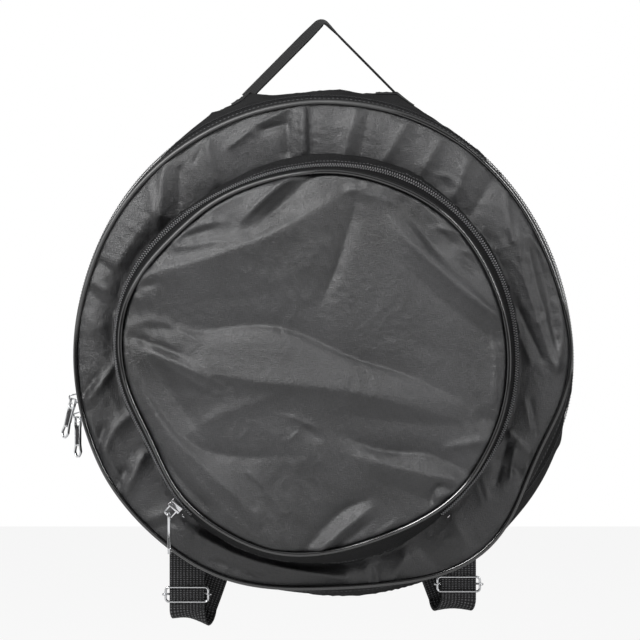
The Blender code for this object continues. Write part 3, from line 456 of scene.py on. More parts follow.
def ribbedWebbing(name, dark, light, ribs, picks):
    # polyester webbing: ribs along its length, picks of the weft as dots across them, both coarser than
    # real ones, so that they show at this picture size
    material, tree, shader = newMaterial(name, dark, 0.62)
    shader.inputs["Sheen Weight"].default_value = 0.05
    shader.inputs["Specular IOR Level"].default_value = 0.3
    uv = addNode(tree, "TexCoord")
    place = addNode(tree, "Mapping", links={"Vector": uv.outputs["UV"]})
    place.inputs["Scale"].default_value = (1 / (picks * mm), 1 / (ribs * mm), 1)
    pick, rib = (
        addNode(
            tree, "TexWave", {"Scale": waveScale, "Distortion": wander}, {"Vector": place},
            bands_direction=direction,
        )
        for direction, wander in (("X", 0.3), ("Y", 0.15))
    )
    both = addNode(
        tree, "Math", links={0: pick.outputs["Fac"], 1: rib.outputs["Fac"]},
        operation="MULTIPLY",
    )
    ramp = addNode(tree, "ValToRGB", links={"Fac": both})
    ramp.color_ramp.elements[0].position = 0.1
    ramp.color_ramp.elements[0].color = paint(dark)
    ramp.color_ramp.elements[1].position = 0.9
    ramp.color_ramp.elements[1].color = paint(light)
    tree.links.new(ramp.outputs["Color"], shader.inputs["Base Color"])
    relief = addNode(tree, "Bump", {"Strength": 0.8, "Distance": 0.5 * mm}, {"Height": both})
    tree.links.new(relief.outputs["Normal"], shader.inputs["Normal"])
    return material


def mouldedPlastic(name, hexCode, roughness, grain, specular=0.5):
    # plain plastic, rubber or thread with a fine uneven skin
    material, tree, shader = newMaterial(name, hexCode, roughness)
    shader.inputs["Specular IOR Level"].default_value = specular
    uv = addNode(tree, "TexCoord")
    noise = addNode(
        tree, "TexNoise", {"Scale": 900.0, "Detail": 2.0},
        {"Vector": uv.outputs["Object"]},
    )
    relief = addNode(tree, "Bump", {"Strength": grain, "Distance": 0.1 * mm}, {"Height": noise})
    tree.links.new(relief.outputs["Normal"], shader.inputs["Normal"])
    return material


def rubbedVinyl(name, hexCode, shiny, dull):
    # glossy extruded vinyl, rubbed dull on the bag's upper left shoulder
    material, tree, shader = newMaterial(name, hexCode, shiny)
    shader.inputs["IOR"].default_value = 1.9
    spot = addNode(tree, "TexCoord")
    toShoulder = addNode(
        tree, "VectorMath", {1: (-0.57, 0.0, 0.82)}, {0: spot.outputs["Object"]},
        operation="DOT_PRODUCT",
    )
    wear = addNode(
        tree, "MapRange",
        {"From Min": -0.11, "From Max": -0.085, "To Min": shiny, "To Max": dull},
        {"Value": toShoulder.outputs["Value"]}, interpolation_type="SMOOTHSTEP",
    )
    tree.links.new(wear.outputs["Result"], shader.inputs["Roughness"])
    return material


def platedMetal(name, hexCode, roughness):
    # nickel plate over die cast zinc or steel wire: bright, with faint handling marks
    material, tree, shader = newMaterial(name, hexCode, roughness, 1.0)
    uv = addNode(tree, "TexCoord")
    marks = addNode(
        tree, "TexNoise", {"Scale": 420.0, "Detail": 5.0, "Roughness": 0.7},
        {"Vector": uv.outputs["Object"]},
    )
    wear = addNode(
        tree, "MapRange",
        {"From Min": 0.35, "From Max": 0.7, "To Min": roughness * 0.7, "To Max": roughness * 1.6},
        {"Value": marks},
    )
    tree.links.new(wear.outputs["Result"], shader.inputs["Roughness"])
    return material


# black Oxford nylon: near black with a satin shine, which draws every fold as a soft grey edge
satinNylon = wovenCloth(
    "satinNylonOxford", "#020203", "#323234", 0.45, thread=0.6, weaveDepth=0.5, slub=0.8, specular=0.8,
)
# the same cloth at the sides as a flat, dull and darker copy: painted shade where the sides face away from
# the lamps, so that the zipper beside it stands out
shadedGussetNylon = wovenCloth(
    "shadedDullNylonOxford", "#09090a", "#1d1d1e", 0.66, thread=0.6, weaveDepth=0.6, slub=1.0, specular=0.2,
)
# charcoal taffeta: an even, slightly paler inside, seen when the bag is open
liningTaffeta = wovenCloth(
    "liningTaffeta", "#1c1c1e", "#262628", 0.5, thread=0.5, weaveDepth=0.3, slub=0.15, specular=0.4,
    sheen=0.1,
)
# twill tape: a matt black band on both sides of the coil
zipTapeWeave = wovenCloth(
    "zipTapeTwill", "#0b0b0c", "#19191a", 0.8, thread=0.9, weaveDepth=0.8, slub=0.3, specular=0.15,
)
# polyester webbing: charcoal with rows of paler dots, rough to look at
strapWebbing = ribbedWebbing("ribbedStrapWebbing", "#141415", "#68686a", ribs=2.8, picks=1.9)
# flatter webbing: nearly as black as the cloth, with fine ribs
handleWebbing = ribbedWebbing("flatHandleWebbing", "#0c0c0d", "#202021", ribs=2.0, picks=1.8)
# extruded vinyl: a black cord with thin white highlights, dull where it is rubbed
pipingVinyl = rubbedVinyl("rubbedPipingVinyl", "#0a0a0b", shiny=0.14, dull=0.55)
# drawn nylon: a grey ring of small bright dots
coilNylon = mouldedPlastic("zipperCoilNylon", "#6a6a6c", 0.3, grain=0.1, specular=0.8)
# the same coil nylon as a darker, duller copy: painted shade, as this coil is seen from its side; a darker
# ring with hardly a shine
shadedMainCoilNylon = mouldedPlastic("shadedMainZipperCoilNylon", "#2a2a2c", 0.42, grain=0.1, specular=0.3)
# soft rubber: a dull black field inside the bright pull
insertRubber = mouldedPlastic("pullInsertRubber", "#18181a", 0.45, grain=0.3)
# nickel plate: the only bright spots, with white and dark bands from the room
nickelPlate = platedMetal("nickelPlate", "#d9dadc", 0.16)
# polyester thread: a row of small grey dashes
sewingThread = mouldedPlastic("sewingThread", "#444446", 0.55, grain=0.3)
print("materials ready")

# Folds as noted: a path in the photograph's pixels, the width on its left and right and the height,
# both in millimetres
ringFolds = [
    ([(304, 108), (302, 155)], 5, 7, 3.6),
    ([(287, 112), (288, 152)], 5, 5, -3.2),
    ([(357, 108), (344, 159)], 14, 7, 5),
    ([(369, 110), (357, 162)], 6, 6, -2.2),
    ([(408, 122), (384, 162)], 6, 10, 3.6),
    ([(442, 138), (420, 176)], 6, 9, 3.2),
    ([(470, 156), (455, 198)], 6, 10, 3.8),
    ([(492, 180), (470, 216)], 8, 8, -3.2),
    ([(506, 190), (509, 222), (513, 242)], 3, 3.5, 2.6),
    ([(519, 310), (541, 358)], 3.2, 3.2, -3),
    ([(514, 322), (531, 362)], 4, 4, 1.8),
    ([(530, 400), (537, 432)], 2.5, 2.5, -2.2),
    ([(525, 402), (531, 430)], 3, 3, 1.4),
    ([(500, 460), (520, 470), (527, 490)], 5, 5, -5),
    ([(510, 434), (529, 453)], 3, 3, 3.4),
    ([(510, 480), (514, 450)], 3, 3, 3),
    ([(515, 500), (527, 468)], 3, 3, 3.4),
    ([(506, 444), (497, 480)], 4, 4, -4.2),
    ([(482, 478), (488, 500)], 2.2, 2.2, 1.6),
    ([(476, 484), (482, 504)], 2.2, 2.2, 1.4),
    ([(452, 516), (472, 562)], 14, 12, 3),
    ([(412, 538), (442, 572)], 11, 11, -3.2),
    ([(376, 566), (380, 590)], 4, 4, -4.4),
    ([(364, 570), (374, 586)], 5, 5, 3),
    ([(386, 588), (404, 558)], 7, 7, 3.4),
    ([(200, 536), (240, 556), (290, 569), (345, 577)], 6, 5, 5.4),
    ([(188, 520), (225, 540), (290, 556), (340, 562)], 4, 4, -3.2),
    ([(212, 560), (262, 577)], 3, 3, -2.2),
    ([(152, 213), (118, 264)], 12, 14, 3.2),
    ([(98, 260), (125, 282)], 5, 5, -2.8),
    ([(90, 281), (119, 298)], 5, 5, 2.8),
    ([(90, 292), (113, 311)], 4, 4, -2.4),
    ([(83, 320), (114, 331)], 14, 14, 2.4),
    ([(87, 403), (100, 386), (115, 365)], 7, 4, 4.4),
    ([(83, 393), (98, 375)], 3, 3, -3),
    ([(105, 450), (113, 430), (132, 413)], 6, 6, 3.8),
    ([(96, 447), (104, 427)], 4, 4, -4.2),
    ([(89, 418), (98, 441)], 4, 4, 2.2),
    ([(125, 492), (134, 475), (144, 455)], 5, 5, 4.2),
    ([(118, 483), (128, 465)], 4.5, 4.5, -4.2),
    ([(103, 450), (121, 479)], 5, 5, 2.2),
    ([(143, 521), (173, 511)], 6, 6, 2.8),
    ([(150, 530), (172, 522)], 4, 4, -2.2),
    ([(226, 150), (250, 131)], 5, 5, 3.2),
    ([(206, 136), (202, 147), (195, 161)], 1.6, 1.6, -1.2),
    ([(258, 124), (288, 109)], 4, 4, 3.2),
    ([(263, 130), (285, 124)], 4, 4, -3.2),
    ([(149, 186), (158, 227)], 5, 5, 2.2),
    ([(303, 104), (305, 152)], 4, 8, 3.4),
    ([(310, 106), (312, 152)], 5, 6, -3.8),
    ([(519, 231), (521, 266), (536, 315), (554, 366)], 4, 6, 3.2),
    ([(526, 236), (533, 274), (548, 327), (558, 366)], 3, 3, 2),
    ([(531, 236), (551, 268), (561, 301), (563, 339), (556, 371)], 4.5, 4.5, 3.6),
    ([(536, 251), (546, 286), (556, 341)], 6, 7, -3.6),
    ([(163, 166), (161, 216)], 11, 9, 5.5),
    ([(180, 170), (178, 212)], 6, 8, -3),
    ([(207, 142), (216, 184)], 6, 10, 4),
    ([(165, 545), (200, 565), (250, 581)], 4, 4, 1.8),
]
flapFolds = [
    ([(138, 278), (175, 268), (205, 260), (245, 247), (290, 227), (347, 192)], 9, 38, 6.4),
    ([(126, 322), (200, 330), (250, 322), (290, 325), (355, 357), (405, 370), (482, 408)], 32, 12, -5.4),
    ([(140, 325), (200, 333), (250, 325), (290, 328), (355, 360), (405, 373), (478, 410)], 4, 4, -1),
    ([(150, 352), (230, 378), (300, 385), (360, 392), (420, 408), (480, 428)], 30, 15, 5.4),
    ([(338, 434), (380, 452), (430, 452), (468, 473)], 12, 5, -4.4),
    ([(345, 452), (400, 470), (452, 480)], 8, 22, 4.2),
    ([(444, 448), (489, 440)], 5, 5, 2.8),
    ([(431, 502), (433, 490), (442, 485), (451, 490)], 2.2, 2.2, -3),
    ([(437, 498), (447, 494)], 2.6, 2.6, 2.4),
    ([(318, 552), (345, 528), (373, 507)], 7, 5, 5.4),
    ([(306, 550), (325, 527), (345, 508), (374, 497)], 8, 8, -4.4),
    ([(332, 552), (376, 518)], 4, 4, -2.4),
    ([(379, 533), (396, 522)], 3, 3, 1.8),
    ([(291, 176), (262, 200), (239, 225)], 5, 9, 6.4),
    ([(312, 174), (285, 200), (257, 225)], 6, 6, -5.4),
    ([(175, 241), (195, 226), (215, 222), (231, 222)], 3.5, 3.5, 3),
    ([(182, 237), (200, 232), (216, 228)], 3, 3, -2.4),
    ([(177, 247), (200, 245), (231, 238)], 4, 4, 2.4),
    ([(211, 249), (232, 240), (252, 235)], 7, 7, 2.2),
    ([(127, 297), (140, 286), (162, 282)], 5, 5, -3),
    ([(132, 337), (160, 346), (191, 359)], 4, 4, -3),
    ([(129, 326), (160, 320), (201, 342)], 8, 8, 3.2),
    ([(138, 347), (175, 362), (223, 385)], 6, 9, 3.4),
    ([(137, 347), (170, 398), (205, 447)], 0.9, 0.9, 0.55),
    ([(150, 355), (175, 400), (205, 440)], 14, 14, -3.2),
    ([(126, 350), (152, 410), (185, 450), (225, 485), (263, 524)], 12, 12, 4.4),
    ([(138, 418), (170, 470), (206, 507)], 7, 7, -2.4),
    ([(283, 415), (300, 420), (319, 429)], 2.5, 2.5, 1.8),
    ([(289, 441), (300, 430)], 2.5, 2.5, 1.4),
    ([(300, 425), (323, 441)], 5, 5, -1.8),
    ([(245, 469), (262, 486)], 2, 2, 1.5),
    ([(257, 505), (262, 527)], 3, 3, 1.8),
    ([(357, 190), (350, 225), (342, 250), (330, 285), (316, 313)], 9, 9, -3.8),
    ([(344, 192), (363, 188)], 4, 4, 2),
    ([(345, 190), (370, 195), (400, 205), (421, 216)], 6, 6, 1.6),
    ([(387, 213), (405, 238), (430, 262), (455, 285), (493, 313)], 7, 12, 5.4),
    ([(404, 203), (430, 240), (446, 263)], 9, 9, -4.4),
    ([(429, 227), (459, 232)], 5, 5, 2.8),
    ([(452, 248), (472, 254)], 3, 3, 1.8),
    ([(460, 262), (474, 272)], 2.6, 2.6, -1.8),
    ([(491, 320), (497, 360), (494, 402)], 5, 5, 2.4),
    ([(487, 309), (495, 321)], 1.6, 1.6, -1.3),
    ([(126, 350), (165, 420), (200, 452), (250, 458), (300, 455)], 10, 10, -3),
    ([(150, 352), (185, 378), (222, 396)], 8, 8, 2),
    ([(175, 445), (215, 415), (260, 400), (300, 385)], 14, 14, 2),
    ([(200, 470), (240, 500), (270, 540)], 18, 18, 3),
    ([(150, 400), (180, 460), (230, 520), (290, 560)], 14, 14, 3),
    ([(260, 470), (300, 480), (350, 500)], 16, 16, -1),
    ([(380, 330), (430, 345), (490, 380)], 22, 22, -1),
    ([(400, 260), (440, 300), (495, 340)], 10, 10, -2),
    ([(398, 214), (432, 258), (470, 290), (495, 318)], 8, 8, 3),
    ([(420, 215), (450, 240), (480, 270)], 5, 5, -2),
    ([(240, 420), (290, 440), (330, 470)], 12, 12, 1),
    ([(360, 470), (420, 500), (470, 500)], 14, 14, -2),
    ([(330, 410), (380, 420), (440, 425), (490, 420)], 14, 14, -2),
    ([(260, 290), (300, 270), (330, 230)], 16, 16, 1),
    ([(190, 300), (230, 300), (290, 290)], 14, 14, -1),
]

# Front cover: the nylon ring round the pocket, sewn to the piping

# reach is how far from a seam the cloth rises, or its gathers fade; hidden is the ground under the pocket
cover = {
    "alongCount": 540, "acrossCount": 62, "rim": -81.0, "crumple": 0.6, "pucker": 0.5, "puff": 2.5,
    "rimReach": 4, "gatherReach": 7, "zipReach": 6, "zipShare": 0.65, "zipGap": 3, "foldGap": 5,
    "hiddenStart": -2, "hiddenEnd": -14, "hiddenShare": 0.15, "hiddenRadius": 132, "shownRows": 0.8,
}
hollowDepth = 3


def fromPocketMiddle(x, z):
    # distance and direction from the pocket's middle, for a place given from the bag's middle
    pocketX, pocketZ = x - pocketFromBag[0], z - pocketFromBag[1]
    return np.hypot(pocketX, pocketZ), np.arctan2(pocketZ, pocketX)


def risen(gap, reach):
    # 0 at a seam and nearly 1 a few reaches away from it
    return 1 - np.exp(-np.maximum(gap, 0) / reach)


def shallow(height):
    # a hollow stops above the lining
    return np.where(height < 0, -hollowDepth * (1 - np.exp(np.minimum(height, 0) / hollowDepth)), height)


def coverGaps(x, z):
    angle = np.arctan2(z, x)
    distance, pocketAngle = fromPocketMiddle(x, z)
    fromZip = distance - around(pocketZipRadius, pocketAngle) - cover["zipGap"]
    return angle, around(rimRadius, angle) - np.hypot(x, z), fromZip


def coverSeams(x, z):
    return np.minimum(*coverGaps(x, z)[1:]) - cover["foldGap"]


def coverHeight(x, z):
    angle, fromRim, fromZip = coverGaps(x, z)
    seam = cover["zipShare"] + (1 - cover["zipShare"]) * risen(fromZip, cover["zipReach"])
    shown = smooth(cover["hiddenEnd"], cover["hiddenStart"], fromZip)
    height = folds(x, z, strokesAt(ringFolds, bag["face"]), coverSeams)
    height += cover["crumple"] * crumple(x, z, 23, 22)
    gathers = closedWave(lambda a: ripple(a * bag["radius"], fromRim * 0.2, 31, 11, 7), angle)
    height += cover["pucker"] * gathers * (1 - risen(fromRim, cover["gatherReach"]))
    across = np.clip(fromRim / (fromRim + np.maximum(fromZip, 1) + 1e-6), 0, 1)
    height = height * seam + cover["puff"] * np.sin(math.pi * across)
    height *= risen(fromRim, cover["rimReach"])
    return shallow(height * (cover["hiddenShare"] + (1 - cover["hiddenShare"]) * shown))


def placeCover(along, across):
    angle = turnStart + 2 * math.pi * along
    edge = around(rimRadius, angle) - 0.4
    inner, rows = cover["hiddenRadius"], cover["shownRows"]
    radius = np.where(across < rows, edge + (inner - edge) * across / rows, inner * (1 - across) / (1 - rows))
    x, z = radius * np.cos(angle), radius * np.sin(angle)
    return x, cover["rim"] - coverHeight(x, z), z + bag["drop"]


sheet(
    "coverNylon", (cover["alongCount"], cover["acrossCount"]), placeCover, None, 0.8,
    (satinNylon, "lid", "nylon", ("front_panel", "front_panel_foam")),
)

# Pocket flap: its empty panel sags in big soft folds

flap = {
    "alongCount": 420, "acrossCount": 96, "rim": -118.8, "crumple": 0.45, "pucker": 0.45, "rimReach": 2.6,
    "gatherReach": 8, "sag": 6, "sagRadius": 152, "edge": 2.2, "dip": 2.2, "dipWidth": 1.6,
}


def flapGap(x, z):
    distance, angle = fromPocketMiddle(x, z)
    return around(flapRadius, angle) - distance


def flapHeight(x, z):
    # x and z from the bag's middle, so that the folds share one map
    distance, angle = fromPocketMiddle(x, z)
    fromRim = flapGap(x, z)
    height = folds(x, z, strokesAt(flapFolds, pocket["face"]), flapGap)
    height += flap["crumple"] * crumple(x, z, 59, 26)
    gathers = closedWave(lambda a: ripple(a * 150, fromRim * 0.2, 61, 10, 7), angle)
    height += flap["pucker"] * gathers * (1 - risen(fromRim, flap["gatherReach"]))
    height += flap["sag"] * (1 - (distance / flap["sagRadius"]) ** 2)
    # the cloth dips beside its piping
    dip = flap["dip"] * bump(fromRim - flap["edge"], flap["dipWidth"])
    return shallow(height * risen(fromRim, flap["rimReach"])) - dip


def placeFlap(along, across):
    angle = turnStart + 2 * math.pi * along
    radius = (around(flapRadius, angle) - flap["edge"]) * (1 - across)
    x, z = pocketFromBag[0] + radius * np.cos(angle), pocketFromBag[1] + radius * np.sin(angle)
    return x, flap["rim"] - flapHeight(x, z), z + bag["drop"]


sheet(
    "flapNylon", (flap["alongCount"], flap["acrossCount"]), placeFlap, None, 0.7,
    (satinNylon, "pocket_flap", "nylon", ("pocket_panel",)),
)
print("front cover and pocket flap laid")

# Gusset: the narrow strip before the zipper and the wide padded band behind it

# the front strip ends flat beside the zipper; behind it the band swells over its shoulder, and creases
gusset = {
    "alongCount": 480, "strip": 8, "band": 64, "rearRadius": 197.5, "wave": 1.6, "crease": 1.9,
    "shoulder": 7.0, "flat": 5.5, "tent": 8.0, "tentWide": 17, "tentDeep": 30,
}
handleFeet = (math.radians(106.3), math.radians(73.7))


def gussetRadius(angle, y):
    rim = around(rimRadius, angle) + 1.0
    chain = around(zipRadius, angle)
    belly = around(bellyRadius, angle)
    share = np.clip((y - bag["face"]) / (bag["zip"] - gusset["flat"] - bag["face"]), 0, 1)
    front = rim + (chain - rim) * share * (0.8 + 0.2 * share)
    swell = smooth(bag["zip"] + gusset["shoulder"], -12, y)
    rear = chain + (belly - chain) * swell
    rear = rear + (gusset["rearRadius"] - rear) * smooth(5, 80, y)
    radius = np.where(y < bag["zip"] + gusset["shoulder"], front, rear)
    soft = smooth(bag["zip"] + 9, -18, y) * (1 - smooth(62, 81, y))
    wave = closedWave(lambda a: ripple(a * bag["radius"], y * 1.6, 71, 120), angle)
    crease = closedWave(lambda a: creased(a * bag["radius"], y * 1.2, 83, 75), angle)
    radius = radius + soft * (gusset["wave"] * wave + gusset["crease"] * crease)
    for foot in handleFeet:
        # the handle pulls the cloth up to a low tent
        off = np.abs(np.angle(np.exp(1j * (angle - foot)))) * bag["radius"]
        tent = np.exp(-off / gusset["tentWide"]) * bump(y, gusset["tentDeep"])
        radius = radius + gusset["tent"] * tent * soft
    return radius


def bandPlace(start, end, yStart, yEnd, lift=0.0):
    def place(along, across):
        angle = start + (end - start) * along
        y = yStart + (yEnd - yStart) * across
        radius = gussetRadius(angle, y) + lift
        return radius * np.cos(angle), y, radius * np.sin(angle) + bag["drop"]

    return place


chainStart, chainEnd = math.radians(-60), math.radians(240)
ringLength = 2 * math.pi * bag["radius"]

sheet(
    "coverStrip", (gusset["alongCount"], gusset["strip"]),
    bandPlace(turnStart, turnEnd, bag["face"] + 1.5, bag["zip"] - tapeEdge), (ringLength, 12), 0.8,
    (shadedGussetNylon, "lid", "nylon", ("front_band", "front_band_foam")), turn=True,
)

sheet(
    "rearBand", (gusset["alongCount"], gusset["band"]),
    bandPlace(turnStart, turnEnd, bag["zip"] + tapeEdge, bag["back"] - 1.5), (ringLength, 129), 0.8,
    (shadedGussetNylon, "bag", "nylon", ("rear_band", "rear_band_foam")), turn=True,
)

hingeCloth = sheet(
    "hingeCloth", (90, 24),
    bandPlace(chainEnd, turnEnd + math.radians(30), bag["zip"] - tapeEdge, bag["zip"] + tapeEdge),
    (209, 21), 0.8, (shadedGussetNylon, None, "nylon", ("hinge_band_front", "hinge_band_rear")), turn=True,
    wrap=False,
)
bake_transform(hingeCloth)

# Rear panel, soft and nearly flat, with the strain of the sewn straps

# each strap's root stands on a rise, with a pit in the cloth below it
backPanel = {
    "alongCount": 300, "acrossCount": 60, "edge": 1.2, "rimReach": 5, "y": 81.5, "wave": 1.8, "crumple": 1.3,
    "rise": 2.2, "riseZ": 140, "riseWide": 20, "pit": 1.5, "pitZ": 112, "pitWide": 12, "soft": 0.6,
    "puff": 1.2,
}


def placeBack(along, across):
    angle = turnStart + 2 * math.pi * along
    edge = gusset["rearRadius"] - backPanel["edge"]
    radius = edge * (1 - across)
    x, z = radius * np.cos(angle), radius * np.sin(angle)
    height = backPanel["wave"] * ripple(x, z, 97, 150) + backPanel["crumple"] * creased(x, z, 101, 85)
    for side in (-1, 1):
        off = x - side * rearStrap
        fromRise = np.hypot(off, (z - backPanel["riseZ"]) * 0.6)
        height += backPanel["rise"] * bump(fromRise, backPanel["riseWide"])
        height -= backPanel["pit"] * bump(np.hypot(off, z - backPanel["pitZ"]), backPanel["pitWide"])
    height = (height * backPanel["soft"] + backPanel["puff"]) * risen(edge - radius, backPanel["rimReach"])
    return x, backPanel["y"] + height, z + bag["drop"]


sheet(
    "backNylon", (backPanel["alongCount"], backPanel["acrossCount"]), placeBack, None, 0.8,
    (satinNylon, "bag", "nylon", ("rear_panel", "rear_panel_foam")), turn=True,
)

# Linings, which show when the cover is open

# a lining runs down the wall and then over the panel; wall is the share of its rows on the wall
lining = {"start": 9.5, "wave": 0.8, "rearY": 77.0, "rearWall": 0.45, "lidY": -76.5, "lidWall": 0.1}


def liningPlace(angle, across, wallShare, wallRadius, yWall, yPanel, seed):
    flat = np.clip((across - wallShare) / (1 - wallShare), 0, 1)
    radius = wallRadius * (1 - flat)
    x, z = radius * np.cos(angle), radius * np.sin(angle)
    dip = lining["wave"] * ripple(x, z, seed, 90) * smooth(0, 0.1, flat)
    return x, np.where(flat > 0, yPanel + dip * 0.5, yWall), z + bag["drop"]


def placeRearLining(along, across):
    angle = turnStart + 2 * math.pi * along
    start = bag["zip"] + lining["start"]
    y = start + (lining["rearY"] - start) * np.clip(across / lining["rearWall"], 0, 1)
    wall = np.minimum(gussetRadius(angle, y) - 5.0 - 1.5 * smooth(start, bag["zip"] + 20, y), 197)
    return liningPlace(angle, across, lining["rearWall"], wall, y, lining["rearY"] - lining["wave"], 113)


sheet(
    "rearLining", (300, 60), placeRearLining, None, 0.6,
    (liningTaffeta, "bag", "lining", ("rear_band_lining", "rear_panel_lining")),
)


def placeLidLining(along, across):
    angle = turnStart + 2 * math.pi * along
    start = bag["zip"] - lining["start"]
    y = start + (lining["lidY"] - start) * np.clip(across / lining["lidWall"], 0, 1)
    wall = np.minimum(around(zipRadius, angle), around(rimRadius, angle) + 2) - 5.5
    return liningPlace(angle, across, lining["lidWall"], wall, y, lining["lidY"], 127)


sheet(
    "lidLining", (300, 56), placeLidLining, None, 0.6,
    (liningTaffeta, "lid", "lining", ("front_panel_lining",)), turn=True,
)
print("gusset, rear panel and linings laid")

# Pocket walls

# the wall stands out above, at its seam on the front cover
pocketWalls = {"step": 4, "base": 1.8, "crown": 7.5, "crownPower": 6, "wave": 1.2, "crease": 0.9}


def pocketRadius(angle, y):
    chain = around(pocketZipRadius, angle)
    rim = around(flapRadius, angle) - 0.6
    crown = np.maximum(np.sin(angle), 0) ** pocketWalls["crownPower"]
    base = chain + pocketWalls["base"] + pocketWalls["crown"] * crown
    turn = pocket["zip"] + pocketWalls["step"]
    run = np.clip((y - pocket["face"]) / (turn - pocket["face"]), 0, 1)
    front = rim + (chain - rim) * run * (0.5 + 0.5 * run)
    rear = chain + (base - chain) * smooth(turn, bag["face"], y)
    radius = np.where(y < turn, front, rear)
    soft = smooth(pocket["zip"] + 8, pocket["zip"] + 14, y) * (1 - smooth(bag["face"] - 6, bag["face"], y))
    wave = closedWave(lambda a: ripple(a * pocket["radius"], y * 2, 131, 45), angle)
    crease = closedWave(lambda a: creased(a * pocket["radius"], y * 1.4, 137, 26), angle)
    return radius + soft * (pocketWalls["wave"] * wave + pocketWalls["crease"] * crease)


def pocketPlace(start, end, yStart, yEnd):
    def place(along, across):
        angle = start + (end - start) * along
        y = yStart + (yEnd - yStart) * across
        radius = pocketRadius(angle, y)
        return pocket["x"] + radius * np.cos(angle), y, radius * np.sin(angle) + pocket["z"]

    return place


pocketStart, pocketEnd = math.radians(-51), math.radians(231)
pocketLength = 2 * math.pi * pocket["radius"]
sheet(
    "pocketWall", (360, 14),
    pocketPlace(turnStart, turnEnd, pocket["zip"] + pocketTapeEdge, bag["face"] + 2.0),
    (pocketLength, 17), 0.8, (shadedGussetNylon, "lid", "nylon", ("pocket_rear_band",)), turn=True,
)

sheet(
    "flapBand", (360, 5),
    pocketPlace(turnStart, turnEnd, pocket["face"] + 1.5, pocket["zip"] - pocketTapeEdge),
    (pocketLength, 5), 0.8, (shadedGussetNylon, "pocket_flap", "nylon", ("pocket_front_band",)), turn=True,
)

pocketHinge = sheet(
    "pocketHinge", (110, 18),
    pocketPlace(
        pocketEnd, turnEnd + math.radians(39), pocket["zip"] - pocketTapeEdge, pocket["zip"] + pocketTapeEdge
    ),
    (218, 17), 0.8, (shadedGussetNylon, None, "nylon", ("pocket_hinge_band_front", "pocket_hinge_band_rear")),
    turn=True, wrap=False,
)
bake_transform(pocketHinge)

# Piping cords

piping = {"radius": 2.0, "thinRadius": 1.7, "steps": 360, "sway": 0.35}


def pipingPath(table, centre, y, seed):
    angles = np.linspace(0, 2 * math.pi, piping["steps"], endpoint=False)
    wobble = closedWave(lambda a: ripple(a * bag["radius"], a * 0, seed, 60, 7), angles) * piping["sway"]
    radius = table(angles) + 0.3 * wobble
    x, y, z = ringPoint(centre, radius, angles, y + wobble)
    return list(zip(x, y, z))


middle = (0, bag["drop"])
pocketMiddle = (pocket["x"], pocket["z"])
rims = (
    ("frontPiping", lambda a: around(rimRadius, a) + 0.3, middle, bag["face"] + 0.6, "lid", "front_piping"),
    ("rearPiping", lambda a: gusset["rearRadius"] + 0 * a, middle, bag["back"] - 0.8, "bag", "rear_piping"),
    (
        "flapPiping", lambda a: around(flapRadius, a) - 1.4, pocketMiddle, pocket["face"] + 0.6,
        "pocket_flap", "pocket_piping",
    ),
)
for count, (name, table, centre, y, body, node) in enumerate(rims):
    radius = piping["thinRadius"] if name == "flapPiping" else piping["radius"]
    cord = wire(name, pipingPath(table, centre, y, 140 + count), radius, closed=True)
    dress(cord, pipingVinyl, body, "piping", (node,))
print("pocket walls and pipings laid")

# Zippers: twill tapes and single coil turns

# the pitch is coarser than a real coil's, so that the turns show at this picture size
coil = {"pitch": 2.5, "tooth": 0.6, "reach": 1.45, "row": 1.7, "stand": 0.8, "lean": 0.16}


def zipTape(name, placeRange, length, width, body, node):
    sheet(
        name, (420, 6), placeRange, (length, width), 0.7, (zipTapeWeave, body, "tape", (node,)),
        turn=True, wrap=False,
    )


mainArc = (chainEnd - chainStart) * bag["radius"]
pocketArc = (pocketEnd - pocketStart) * pocket["radius"]
zipTape(
    "coverTape", bandPlace(chainStart, chainEnd, bag["zip"] - tapeEdge, bag["zip"] - tapeGap, -0.5),
    mainArc, 9, "lid", "zip_tape_front",
)
zipTape(
    "rearTape", bandPlace(chainStart, chainEnd, bag["zip"] + tapeGap, bag["zip"] + tapeEdge, -0.5),
    mainArc, 9, "bag", "zip_tape_rear",
)
zipTape(
    "flapTape", pocketPlace(pocketStart, pocketEnd, pocket["zip"] - pocketTapeEdge, pocket["zip"] - tapeGap),
    pocketArc, 7, "pocket_flap", "pocket_zip_tape_front",
)
zipTape(
    "pocketTape",
    pocketPlace(pocketStart, pocketEnd, pocket["zip"] + tapeGap, pocket["zip"] + pocketTapeEdge),
    pocketArc, 7, "lid", "pocket_zip_tape_rear",
)

deselect()
bpy.ops.mesh.primitive_uv_sphere_add(segments=7, ring_count=4, radius=1)
tooth = bpy.context.object
tooth.name = "coilTurn"
tooth.scale = (coil["tooth"] * mm, coil["reach"] * mm, coil["tooth"] * 1.15 * mm)
bpy.ops.object.transform_apply(location=False, rotation=False, scale=True)


def ringRow(name, model, pitch, radiusAt, centre, y, start, end, lean=0.0, shift=0.0):
    # copies of a small shape along a ring, each standing square to the cloth under it
    angles = np.arange(start + 0.004 + shift, end - 0.004, pitch / bag["radius"])
    radii = radiusAt(angles, np.full_like(angles, y))
    behind, before = (radiusAt(angles, np.full_like(angles, y + step)) for step in (1, -1))
    slopes = (behind - before) / 2
    places = []
    for angle, radius, slope in zip(angles, radii, slopes):
        out = Matrix.Rotation(math.pi / 2 - angle, 4, "Y") @ Matrix.Rotation(math.atan(slope), 4, "X")
        point = Vector(ringPoint(centre, radius, angle, y)) * mm
        places.append(Matrix.Translation(point) @ out @ Matrix.Rotation(lean, 4, "Z"))
    return repeat(name, model, places)


def coilRow(name, radiusAt, centre, y, start, end, side, body, node):
    model = tooth.copy()
    model.data = tooth.data.copy()
    model.data.transform(Matrix.Translation((0, side * coil["row"] * mm, coil["stand"] * mm)))
    # the turns of one side stand between those of the other
    shift = coil["pitch"] / bag["radius"] / 2 if side > 0 else 0.0
    row = ringRow(name, model, coil["pitch"], radiusAt, centre, y, start, end, side * coil["lean"], shift)
    bpy.data.objects.remove(model)
    dress(row, coilNylon if "pocket" in node else shadedMainCoilNylon, body, "coil", (node,))


